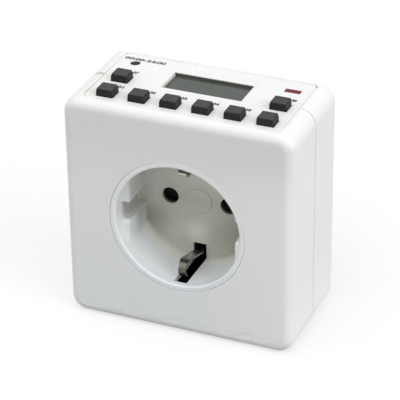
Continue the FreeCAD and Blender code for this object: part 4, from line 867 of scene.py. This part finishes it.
@dataclass(frozen=True)
class DisplayGlass(Finish):
    """The display's glass over its grey-green film, with a faint smear."""

    film: Colour = (0.074, 0.084, 0.072)
    shade: Colour = (0.061, 0.069, 0.060)
    cloud_size: float = 5.0
    cloud_share: float = 0.5
    fibre_size: float = 0.12
    fibre_shape: Point = (1.0, 8.0, 1.0)
    fibre_share: float = 0.3
    smear_size: float = 2.2
    smear_shape: Point = (3.0, 1.0, 1.0)
    smear_edges: Span = (0.5, 0.8)
    smear_wear: float = 0.1
    wave_size: float = 9.0
    wave_depth: float = 0.01
    roughness: float = 0.12
    gloss: float = 0.22

    def paint(self, board: ShaderBoard) -> None:
        """Lay out the display's shader.

        Args:
            board: The board that it goes on.
        """
        cloud = board.noise(self.cloud_size, shift=23.0)
        fibre = board.noise(self.fibre_size, shift=29.0, stretch=self.fibre_shape)
        colour = board.blend(cloud * self.cloud_share + fibre * self.fibre_share, self.film, self.shade)
        smear = board.noise(self.smear_size, detail=3.0, shift=37.0, stretch=self.smear_shape)
        roughness = self.roughness + smear.rise(*self.smear_edges) * self.smear_wear
        bend = board.bump(board.noise(self.wave_size, detail=1.0, shift=41.0) * self.wave_depth)
        sockets = {"Base Color": colour, "Roughness": roughness, "Normal": bend}
        board.surface({**sockets, "Specular IOR Level": self.gloss})


@dataclass(frozen=True)
class LampLens(Finish):
    """Deep red lens with fine prism lines moulded along it."""

    colour: Colour = (0.165, 0.009, 0.014)
    deep: Colour = (0.115, 0.005, 0.008)
    deep_share: float = 0.35
    prism_pitch: float = 0.35
    prism_depth: float = 0.012
    cloud_size: float = 1.3
    cloud_depth: float = 0.004
    cloud_wear: float = 0.08
    roughness: float = 0.24
    gloss: float = 0.15

    def paint(self, board: ShaderBoard) -> None:
        """Lay out the lens's shader.

        Args:
            board: The board that it goes on.
        """
        phase = (board.along(Axis.X) % self.prism_pitch) / self.prism_pitch
        ridge = abs(phase - 0.5) * 2.0
        cloud = board.noise(self.cloud_size, shift=43.0)
        colour = board.blend(ridge * self.deep_share + cloud * self.deep_share, self.colour, self.deep)
        bend = board.bump(ridge * self.prism_depth + cloud * self.cloud_depth)
        roughness = self.roughness + cloud * self.cloud_wear
        sockets = {"Base Color": colour, "Roughness": roughness, "Normal": bend}
        board.surface({**sockets, "Specular IOR Level": self.gloss})


@dataclass(frozen=True)
class BoardLaminate(Finish):
    """Green lacquer over glass cloth, with copper tracks under it and tinned pads on a grid."""

    lacquer: Colour = (0.006, 0.042, 0.015)
    track: Colour = (0.016, 0.090, 0.032)
    tin: Colour = (0.62, 0.62, 0.60)
    cloth_pitch: float = 0.45
    cloth_depth: float = 0.006
    cloth_wear: float = 0.04
    roughness: float = 0.30
    cloud_size: float = 4.0
    cloud_share: float = 0.25
    pad_pitch: float = 2.54
    pad_edge: Span = (0.36, 0.42)
    pad_size: float = 3.0
    pad_where: Span = (0.54, 0.56)
    pad_depth: float = 0.05
    track_edge: Span = (0.22, 0.28)
    track_size: float = 6.0
    column_where: Span = (0.50, 0.52)
    row_where: Span = (0.46, 0.48)
    track_depth: float = 0.02

    def paint(self, board: ShaderBoard) -> None:
        """Lay out the board's shader.

        Args:
            board: The board that it goes on.
        """
        x, y = board.along(Axis.X), board.along(Axis.Y)
        turn = 2 * math.pi / self.cloth_pitch
        cloth = (x * turn).sine() * (y * turn).sine()
        across = abs((x % self.pad_pitch) - self.pad_pitch / 2)
        ahead = abs((y % self.pad_pitch) - self.pad_pitch / 2)
        choice = board.noise(self.track_size, detail=0.0, shift=61.0)
        columns = across.fall(*self.track_edge) * choice.rise(*self.column_where)
        rows = ahead.fall(*self.track_edge) * choice.fall(*self.row_where)
        tracks = columns.most(rows)
        # a pad's edge is given by the squares of its radii
        pads = (across * across + ahead * ahead).fall(*self.pad_edge)
        pads = pads * board.noise(self.pad_size, detail=0.0, shift=67.0).rise(*self.pad_where)
        colour = board.blend(tracks, self.lacquer, self.track)
        colour = board.blend(board.noise(self.cloud_size, shift=71.0) * self.cloud_share, colour, self.track)
        colour = board.blend(pads, colour, self.tin)
        bend = board.bump(cloth * self.cloth_depth + tracks * self.track_depth + pads * self.pad_depth)
        roughness = self.roughness + cloth * self.cloth_wear
        board.surface({"Base Color": colour, "Metallic": pads, "Roughness": roughness, "Normal": bend})


@dataclass(frozen=True)
class WoundCopper(Finish):
    """Lacquered copper wire wound between the black flanges of a bobbin, from a low to a high place."""

    low: float
    high: float
    soft: float = 0.03
    pitch: float = 0.16
    wire: Colour = (0.55, 0.20, 0.075)
    # a browner wire tone in patches, also painted as shade in the grooves between turns
    dull_and_painted_groove_shade: Colour = (0.30, 0.09, 0.035)
    painted_groove_shade: float = 0.7
    cloud_share: float = 0.3
    cloud_size: float = 0.9
    waver_size: float = 2.0
    turn_depth: float = 0.05
    flange: Colour = (0.02, 0.02, 0.021)
    roughness: float = 0.5
    polish: float = 0.18

    def paint(self, board: ShaderBoard) -> None:
        """Lay out the coil's shader.

        Args:
            board: The board that it goes on.
        """
        height = board.along(Axis.Z)
        wound = height.between(self.low, self.high, self.soft)
        waver = board.noise(self.waver_size, shift=73.0) * self.pitch
        turns = abs(((height + waver) * (math.pi / self.pitch)).sine())
        cloud = board.noise(self.cloud_size, shift=79.0)
        # painted shade in the grooves between turns, mixed with patches of a browner tone
        wire = board.blend((1 - turns) * self.painted_groove_shade + cloud * self.cloud_share, self.wire, self.dull_and_painted_groove_shade)
        colour = board.blend(wound, self.flange, wire)
        bend = board.bump(turns * wound * self.turn_depth)
        roughness = self.roughness - wound * self.polish
        board.surface({"Base Color": colour, "Metallic": wound, "Roughness": roughness, "Normal": bend})


@dataclass(frozen=True)
class RibbonInsulation(Finish):
    """Flat cable of grey ribbed conductors with one red edge."""

    first: float
    pitch: float = 1.0
    grey: Colour = (0.34, 0.35, 0.36)
    red: Colour = (0.40, 0.03, 0.03)
    red_edge: Span = (0.9, 1.0)
    # soil in patches, also painted as shade in the grooves between conductors
    soil: Colour = (0.12, 0.12, 0.12)
    soil_size: float = 3.0
    soil_share: float = 0.2
    soil_wear: float = 0.1
    painted_groove_shade: float = 0.3
    rib_depth: float = 0.18
    roughness: float = 0.42

    def paint(self, board: ShaderBoard) -> None:
        """Lay out the ribbon's shader.

        Args:
            board: The board that it goes on.
        """
        across = board.along(Axis.X) - self.first
        rib = abs((across * (math.pi / self.pitch)).sine())
        soil = board.noise(self.soil_size, detail=3.0, shift=83.0)
        colour = board.blend(across.fall(*self.red_edge), self.grey, self.red)
        # painted shade in the grooves between conductors, mixed with soil in patches
        colour = board.blend((1 - rib) * self.painted_groove_shade + soil * self.soil_share, colour, self.soil)
        bend = board.bump(rib * self.rib_depth)
        roughness = self.roughness + soil * self.soil_wear
        board.surface({"Base Color": colour, "Roughness": roughness, "Normal": bend})


@dataclass(frozen=True)
class PrintInk(Finish):
    """Thin printed ink, a little worn."""

    ink: Colour = (0.010, 0.014, 0.045)
    worn: Tone = Tone((0.06, 0.07, 0.12), 0.5)
    wear_size: float = 0.35
    wear_edges: Span = (0.5, 0.75)
    roughness: float = 0.5
    roughened: float = 0.2

    def paint(self, board: ShaderBoard) -> None:
        """Lay out the ink's shader.

        Args:
            board: The board that it goes on.
        """
        wear = board.noise(self.wear_size, detail=3.0, shift=89.0).rise(*self.wear_edges)
        colour = board.lay(self.worn, wear, self.ink)
        board.surface({"Base Color": colour, "Roughness": self.roughness + wear * self.roughened})


def dress(nodes: Iterable[str], finish: bpy.types.Material) -> None:
    """Give CAD nodes a finish.

    Args:
        nodes: Names of the nodes.
        finish: Their material.
    """
    for name in nodes:
        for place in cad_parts[name].material_slots:
            place.material = finish
        log.info("dressed %s with %s", name, finish.name)


def dress_all(finishes: Iterable[tuple[Finish, tuple[str, ...]]]) -> None:
    """Make some finishes and give each one to its own CAD nodes."""
    for finish, nodes in finishes:
        dress(nodes, finish.material())


def add_piece(
    name: str, shape: bmesh.types.BMesh, finish: bpy.types.Material
) -> bpy.types.Object:
    """Turn a finished shape into a piece that rides on the case.

    Args:
        name: Name of the piece.
        shape: Its shape in metres, which is freed.
        finish: Its material.

    Returns:
        The piece.
    """
    mesh = bpy.data.meshes.new(name)
    shape.to_mesh(mesh)
    shape.free()
    mesh.materials.append(finish)
    piece = bpy.data.objects.new(name, mesh)
    bpy.context.scene.collection.objects.link(piece)
    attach(piece, CASE_BODY)
    log.info("made %s with %d faces", name, len(mesh.polygons))
    return piece


@dataclass
class CaseShells:
    """The two halves of the case and the screws that hold them."""

    white: Colour = (0.798, 0.808, 0.805)
    warm: Colour = (0.792, 0.792, 0.780)
    zinc: Colour = (0.62, 0.62, 0.60)
    zinc_tarnish: Colour = (0.42, 0.40, 0.34)

    def build(self) -> bpy.types.Material:
        """Dress the case.

        Returns:
            The case's plastic, which the control panel shares.
        """
        plastic = CasePlastic("case_plastic", self.white, self.warm).material()
        dress(["front_housing", "rear_housing"], plastic)
        steel = WorkedMetal("zinc_plated_screws", self.zinc, self.zinc_tarnish, marks=(1.0, 1.0, 1.0))
        screws = ["case_screws", "socket_screws", "carrier_screws", "control_board_screws"]
        dress(screws, steel.material())
        return plastic


@dataclass
class Outlet:
    """The outlet cup with its shutter, contacts and earth clips, and the plug's pins."""

    cup: OutletPlastic = OutletPlastic(
        "outlet_plastic", (0.830, 0.848, 0.856), (0.820, 0.832, 0.830), drift_size=18.0, roughness=0.30,
        grain=0.3, grain_depth=0.0015, dust=(0.10, 0.095, 0.085), dust_share=0.3)
    shutter: MouldedPlastic = MouldedPlastic(
        "shutter_plastic", (0.006, 0.006, 0.006), (0.010, 0.010, 0.010), drift_size=6.0, roughness=0.5,
        gloss=0.2)
    carrier: MouldedPlastic = MouldedPlastic(
        "carrier_plastic", (0.03, 0.03, 0.031), (0.045, 0.045, 0.045), drift_size=10.0, roughness=0.5)
    brass: WorkedMetal = WorkedMetal("contact_brass", (0.72, 0.50, 0.20), (0.36, 0.22, 0.09), roughness=0.3)
    clip: ClipMetal = ClipMetal(
        "clip_metal", (0.44, 0.43, 0.41), (0.21, 0.20, 0.18), roughness=0.2, tarnish_size=2.2)
    nickel: WorkedMetal = WorkedMetal(
        "pin_nickel", (0.52, 0.50, 0.465), (0.41, 0.38, 0.33), roughness=0.18, tarnish_edges=(0.45, 0.8),
        tarnish_size=7.0, marks=(60.0, 1.0, 60.0), marks_size=0.09)
    spring: WorkedMetal = WorkedMetal("spring_steel", (0.50, 0.49, 0.47), (0.25, 0.22, 0.19), roughness=0.3)

    def build(self) -> None:
        """Dress the outlet and the plug."""
        dress_all([
            (self.cup, ("socket_insert",)),
            (self.shutter, ("shutter",)),
            (self.carrier, ("contact_carrier",)),
            (self.brass, ("line_contact", "neutral_contact", "earth_bridge", "earth_post",
                          "relay_fixed_contact")),
            (self.clip, ("earth_clip_lower", "earth_clip_upper", "plug_earth_strip")),
            (self.nickel, ("plug_pin_line", "plug_pin_neutral")),
            (self.spring, ("shutter_spring",)),
        ])


@dataclass
class KeypadMat:
    """The rubber mat on the control board: a sheet with a dome under each key and under the reset button."""

    buttons: list[str]
    thickness: float = 1.0
    foot_radius: float = 2.2
    top_radius: float = 1.5
    reach: float = 3.0
    sunk: float = 0.3
    crushed: float = 0.55
    corner: float = 0.8
    edge: float = 0.2
    segments: int = 32

    def build(self, rubber: bpy.types.Material) -> None:
        """Make the sheet and its domes.

        Args:
            rubber: The mat's rubber.
        """
        low, high = (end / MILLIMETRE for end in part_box("keypad_mat"))
        sheet = add_piece("keypad_sheet", self.sheet(low, high), rubber)
        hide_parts("keypad_mat")
        foot = low.z + self.thickness - self.sunk
        height = high.z - foot
        for button in self.buttons:
            x, y = self.middle(button)
            place = Vector((x, y, foot))
            dome = add_piece(f"keypad_dome_{button}", self.dome(place, height), rubber)
            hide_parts("keypad_mat")
            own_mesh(dome)

    @staticmethod
    def middle(button: str) -> tuple[float, float]:
        """Middle of a key or button seen from above.

        Args:
            button: Its node.

        Returns:
            Its place across and from front to back, in millimetres.
        """
        low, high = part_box(button)
        spot = (low + high) / 2 / MILLIMETRE
        return spot.x, spot.y

    def sheet(self, low: Vector, high: Vector) -> bmesh.types.BMesh:
        """Shape of the flat sheet, which leaves the display free.

        Args:
            low: Lowest corner of the whole mat, in millimetres.
            high: Highest corner of the whole mat, in millimetres.

        Returns:
            The shape in metres.
        """
        first_x, row_y = self.middle("front_key_1")
        last_x, rear_y = self.middle("front_key_6")[0], self.middle("rear_key_right")[1]
        left, right = first_x + self.foot_radius, last_x - self.foot_radius
        behind_row, behind_rear = row_y + self.reach, rear_y + self.reach
        corners = [(low.x, low.y), (high.x, low.y), (high.x, behind_rear), (right, behind_rear),
                   (right, behind_row), (left, behind_row), (left, high.y), (low.x, high.y)]
        shape = bmesh.new()
        outline = shape.faces.new([shape.verts.new((x, y, low.z)) for x, y in corners])
        raised = bmesh.ops.extrude_face_region(shape, geom=[outline], use_keep_orig=True)["geom"]
        lifted = [part for part in raised if isinstance(part, bmesh.types.BMVert)]
        bmesh.ops.translate(shape, verts=lifted, vec=(0, 0, self.thickness))
        bmesh.ops.recalc_face_normals(shape, faces=shape.faces)
        upright = [edge for edge in shape.edges if abs(edge.verts[0].co.z - edge.verts[1].co.z) > self.edge]
        self.round_off(shape, upright, self.corner, segments=4)
        self.round_off(shape, self.rim(shape, low.z + self.thickness), self.edge, segments=2)
        return self.in_metres(shape)

    def dome(self, place: Vector, height: float) -> bmesh.types.BMesh:
        """Shape of one dome.

        Args:
            place: Middle of its foot, in millimetres.
            height: Its height in millimetres.

        Returns:
            The shape in metres.
        """
        shape = bmesh.new()
        spot = Matrix.Translation(place + Vector((0, 0, height / 2)))
        bmesh.ops.create_cone(shape, cap_ends=True, segments=self.segments, radius1=self.foot_radius,
                              radius2=self.top_radius, depth=height, matrix=spot)
        self.round_off(shape, self.rim(shape, place.z + height), self.edge, segments=3)
        # only the slopes, which are made of faces with four corners, are shaded smooth
        for face in shape.faces:
            face.smooth = len(face.verts) == 4
        return self.in_metres(shape)

    def rim(self, shape: bmesh.types.BMesh, top: float) -> list[bmesh.types.BMEdge]:
        """Edges of a shape that lie at its top."""
        return [edge for edge in shape.edges if min(end.co.z for end in edge.verts) > top - self.edge]

    @staticmethod
    def round_off(
        shape: bmesh.types.BMesh, edges: list[bmesh.types.BMEdge], width: float, segments: int
    ) -> None:
        """Round some edges of a shape."""
        bmesh.ops.bevel(shape, geom=edges, offset=width, offset_type="OFFSET", affect="EDGES",
                        segments=segments, profile=0.5, material=-1)

    @staticmethod
    def in_metres(shape: bmesh.types.BMesh) -> bmesh.types.BMesh:
        """Turn a shape's millimetres into metres."""
        bmesh.ops.scale(shape, verts=shape.verts, vec=(MILLIMETRE,) * 3)
        return shape


@dataclass
class PanelMark:
    """One printed mark: its words, place on the panel, height, width and boldness, in millimetres."""

    words: str
    x: float
    y: float
    height: float
    width: float
    bold: float


@dataclass
class ControlPanel:
    """The panel in the top with its keys, display, lamp and printed marks."""

    key_nodes: tuple[str, ...] = ("front_key_1", "front_key_2", "front_key_3", "front_key_4", "front_key_5",
                                  "front_key_6", "rear_key_left", "rear_key_right")
    caps: KeyPlastic = KeyPlastic(
        "key_plastic", (0.016, 0.0165, 0.017), (0.021, 0.021, 0.021), drift_size=3.0, roughness=0.52,
        grain=0.12, flow_depth=0.004, dust=(0.25, 0.24, 0.22), dust_share=0.3, gloss=0.15)
    glass: DisplayGlass = DisplayGlass("display_glass")
    grey: FramePlastic = FramePlastic(
        "display_frame", (0.20, 0.205, 0.185), (0.22, 0.22, 0.20), drift_size=4.0, roughness=0.55, gloss=0.2)
    lens: LampLens = LampLens("lamp_lens")
    rubber: MouldedPlastic = MouldedPlastic(
        "mat_rubber", (0.16, 0.16, 0.165), (0.22, 0.22, 0.22), drift_size=5.0, roughness=0.7, grain=0.15,
        grain_depth=0.006)
    ink: PrintInk = PrintInk("navy_ink")
    ink_thickness: float = 0.02
    capital_share: float = 0.7
    mark_height: float = 1.25
    mark_width: float = 2.0
    mark_centred: str = "front_key_6"
    mark_right: float = 2.1
    mark_behind: float = 5.2
    mark_bold: float = 0.1
    range_words: str = "00:00-24:00"
    range_x: float = -23.07
    range_y: float = 12.75
    range_height: float = 1.45
    range_width: float = 13.4
    range_bold: float = 0.08

    def build(self, plastic: bpy.types.Material) -> None:
        """Dress the panel and print its marks.

        Args:
            plastic: The case's plastic.
        """
        buttons = [*self.key_nodes, "reset_button"]
        dress(["control_panel"], plastic)
        dress_all([
            (self.caps, tuple(buttons)),
            (self.glass, ("lcd_glass",)),
            (self.grey, ("lcd_frame",)),
            (self.lens, ("indicator_lens", "indicator_led")),
        ])
        rubber = self.rubber.material()
        dress(["lcd_contact_strips"], rubber)
        KeypadMat(buttons).build(rubber)
        self.print_marks()

    def marks(self) -> list[PanelMark]:
        """List the marks: a number by each key and the day's range by the reset hole.

        Returns:
            The marks.
        """
        found = []
        for number, node in enumerate(self.key_nodes, 1):
            low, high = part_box(node)
            middle = (low + high) / 2 / MILLIMETRE
            right = 0.0 if node == self.mark_centred else self.mark_right
            found.append(PanelMark(f"{number:02d}", middle.x + right, middle.y + self.mark_behind,
                                   self.mark_height, self.mark_width, self.mark_bold))
        found.append(PanelMark(self.range_words, self.range_x, self.range_y, self.range_height,
                               self.range_width, self.range_bold))
        return found

    def print_marks(self) -> None:
        """Print every mark as one thin piece on the panel's top."""
        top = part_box("control_panel")[1].z
        shape = bmesh.new()
        for mark in self.marks():
            curve = bpy.data.curves.new("mark", "FONT")
            curve.body = mark.words
            curve.align_x = "CENTER"
            curve.align_y = "CENTER"
            curve.size = mark.height / self.capital_share * MILLIMETRE
            curve.offset = mark.bold * MILLIMETRE
            curve.extrude = self.ink_thickness / 2 * MILLIMETRE
            words = bpy.data.objects.new("mark", curve)
            mesh = bpy.data.meshes.new_from_object(words)
            places = [vertex.co.x for vertex in mesh.vertices]
            stretch = mark.width * MILLIMETRE / (max(places) - min(places))
            lift = top + self.ink_thickness / 2 * MILLIMETRE
            spot = Matrix.Translation((mark.x * MILLIMETRE, mark.y * MILLIMETRE, lift))
            mesh.transform(spot @ Matrix.Diagonal((stretch, 1.0, 1.0, 1.0)))
            shape.from_mesh(mesh)
            bpy.data.objects.remove(words)
            bpy.data.curves.remove(curve)
            bpy.data.meshes.remove(mesh)
        add_piece("panel_marks", shape, self.ink.material())


@dataclass
class Electronics:
    """The two circuit boards with what stands on them, and the leads between them."""

    laminate: BoardLaminate = BoardLaminate("board_laminate")
    steel: WorkedMetal = WorkedMetal(
        "battery_steel", (0.66, 0.66, 0.64), (0.45, 0.43, 0.40), roughness=0.24, marks=(40.0, 40.0, 1.0))
    epoxy: MouldedPlastic = MouldedPlastic(
        "chip_epoxy", (0.014, 0.014, 0.015), (0.024, 0.024, 0.024), drift_size=4.0, roughness=0.6,
        grain=0.08, grain_depth=0.005)
    relay: MouldedPlastic = MouldedPlastic(
        "relay_plastic", (0.012, 0.012, 0.014), (0.018, 0.018, 0.02), drift_size=8.0, roughness=0.35)
    coil_flange: float = 0.6
    iron: WorkedMetal = WorkedMetal("relay_iron", (0.44, 0.44, 0.43), (0.26, 0.25, 0.23), roughness=0.34)
    film: MouldedPlastic = MouldedPlastic(
        "capacitor_film", (0.56, 0.34, 0.035), (0.50, 0.30, 0.03), drift_size=8.0, roughness=0.34)
    sleeve: MouldedPlastic = MouldedPlastic(
        "capacitor_sleeve", (0.012, 0.012, 0.014), (0.02, 0.02, 0.022), drift_size=8.0, roughness=0.3)
    coating: MouldedPlastic = MouldedPlastic(
        "varistor_coating", (0.025, 0.022, 0.02), (0.035, 0.03, 0.028), drift_size=2.0, roughness=0.4,
        grain=0.5, grain_depth=0.02)
    brown: MouldedPlastic = MouldedPlastic(
        "line_lead_insulation", (0.085, 0.030, 0.014), (0.11, 0.04, 0.02), drift_size=6.0, roughness=0.36)
    blue: MouldedPlastic = MouldedPlastic(
        "neutral_lead_insulation", (0.010, 0.045, 0.18), (0.015, 0.06, 0.22), drift_size=6.0, roughness=0.45)

    def build(self) -> None:
        """Dress the boards and the parts on them."""
        low, high = (end.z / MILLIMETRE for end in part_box("relay_coil"))
        coil = WoundCopper("coil_copper", low + self.coil_flange, high - self.coil_flange)
        ribbon = RibbonInsulation("ribbon_insulation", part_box("board_ribbon")[0].x / MILLIMETRE)
        dress_all([
            (self.laminate, ("control_board", "power_board")),
            (self.steel, ("backup_battery", "quartz_crystal")),
            (self.epoxy, ("processor_chip", "rectifier")),
            (self.relay, ("relay_base", "relay_cover")),
            (coil, ("relay_coil",)),
            (self.iron, ("relay_yoke", "relay_armature")),
            (self.film, ("dropper_capacitor",)),
            (self.sleeve, ("smoothing_capacitor",)),
            (self.coating, ("varistor",)),
            (self.brown, ("line_in_wire", "line_out_wire")),
            (self.blue, ("neutral_wire",)),
            (ribbon, ("board_ribbon",)),
        ])


@dataclass(frozen=True)
class Lamp:
    """One broad studio lamp: where it stands seen from the timer, its strength and its spread in degrees."""

    name: str
    azimuth: float
    elevation: float
    strength: float
    spread: float


def direction(azimuth: float, elevation: float) -> Vector:
    """Unit vector from the timer towards a place seen at an azimuth and elevation in degrees."""
    turn, tilt = math.radians(azimuth), math.radians(elevation)
    return Vector((math.sin(turn) * math.cos(tilt), -math.cos(turn) * math.cos(tilt), math.sin(tilt)))


@dataclass
class Studio:
    """The pale floor, the soft light and the camera."""

    azimuth: float = 23.08
    elevation: float = 29.66
    roll: float = 0.76
    distance: float = 603.2
    target: Point = (7.64, -18.85, 47.71)
    focal_length: float = 186.92
    sensor: float = 36.0
    nearest: float = 0.01
    farthest: float = 100.0
    white: Colour = (1.0, 1.0, 1.0)
    sky: float = 0.50
    floor_radius: float = 6.0
    floor_sides: int = 96
    floor_drop: float = 0.05
    floor_bounce: float = 0.3
    floor_seen: float = 0.9
    floor_glow: float = 0.6
    lamps: tuple[Lamp, ...] = (
        Lamp("front_lamp", 10.0, 62.0, 0.14, 55.0),
        Lamp("left_lamp", -60.0, 57.0, 0.39, 100.0),
        Lamp("side_lamp", 80.0, 25.0, 0.52, 54.0),
    )

    def build(self) -> None:
        """Set the floor, the light and the camera."""
        bpy.context.scene.view_settings.view_transform = "Standard"
        self.lay_floor()
        self.light()
        self.aim_camera()

    def lay_floor(self) -> None:
        """Lay a round pale floor that can be looked through from below."""
        shape = bmesh.new()
        bmesh.ops.create_circle(shape, cap_ends=True, radius=self.floor_radius, segments=self.floor_sides)
        bmesh.ops.translate(shape, verts=shape.verts, vec=(0, 0, -self.floor_drop * MILLIMETRE))
        mesh = bpy.data.meshes.new("floor")
        shape.to_mesh(mesh)
        shape.free()
        floor = bpy.data.objects.new("floor", mesh)
        bpy.context.scene.collection.objects.link(floor)
        owner = bpy.data.materials.new("floor_paper")
        board = ShaderBoard(owner)
        seen = board.seen_directly()
        grey = board.blend(seen, (self.floor_bounce,) * 3, (self.floor_seen,) * 3)
        paper = board.node("ShaderNodeBsdfDiffuse", {}, {"Color": grey})
        glow = board.node("ShaderNodeEmission", {}, {"Color": self.white, "Strength": 1.0})
        lit = board.node("ShaderNodeMixShader", {}, {0: seen * self.floor_glow, 1: paper, 2: glow})
        clear = board.node("ShaderNodeBsdfTransparent", {}, {})
        below = board.node("ShaderNodeNewGeometry", {}, {}, "Backfacing")
        board.finish(board.node("ShaderNodeMixShader", {}, {0: below, 1: lit, 2: clear}))
        mesh.materials.append(owner)

    def light(self) -> None:
        """Light the scene with a pale sky and the lamps."""
        world = bpy.data.worlds.new("studio")
        bpy.context.scene.world = world
        board = ShaderBoard(world)
        sky = board.node("ShaderNodeBackground", {}, {"Color": self.white, "Strength": self.sky})
        plain = board.node("ShaderNodeBackground", {}, {"Color": self.white, "Strength": 1.0})
        board.finish(board.node("ShaderNodeMixShader", {}, {0: board.seen_directly(), 1: sky, 2: plain}))
        for lamp in self.lamps:
            light = bpy.data.lights.new(lamp.name, "SUN")
            light.energy = lamp.strength * math.pi
            light.angle = math.radians(lamp.spread)
            holder = bpy.data.objects.new(lamp.name, light)
            holder.location = direction(lamp.azimuth, lamp.elevation)
            holder.rotation_mode = "QUATERNION"
            holder.rotation_quaternion = holder.location.to_track_quat("Z", "Y")
            bpy.context.scene.collection.objects.link(holder)

    def aim_camera(self) -> None:
        """Stand the camera where the photograph was taken from."""
        back = direction(self.azimuth, self.elevation)
        right = Vector((0, 0, 1)).cross(back).normalized()
        up = back.cross(right)
        turn = math.radians(self.roll)
        across = right * math.cos(turn) - up * math.sin(turn)
        upward = up * math.cos(turn) + right * math.sin(turn)
        spot = (Vector(self.target) + back * self.distance) * MILLIMETRE
        camera = bpy.data.cameras.new("camera")
        camera.lens = self.focal_length
        camera.sensor_width = self.sensor
        camera.clip_start = self.nearest
        camera.clip_end = self.farthest
        holder = bpy.data.objects.new("camera", camera)
        turned = Matrix((across, upward, back)).transposed().to_4x4()
        holder.matrix_world = Matrix.Translation(spot) @ turned
        bpy.context.scene.collection.objects.link(holder)
        bpy.context.scene.camera = holder


def main() -> None:
    """Dress the timer piece by piece and set the studio."""
    logging.basicConfig(level=logging.INFO)
    plastic = CaseShells().build()
    Outlet().build()
    ControlPanel().build(plastic)
    Electronics().build()
    Studio().build()


if __name__ == "__main__":
    main()
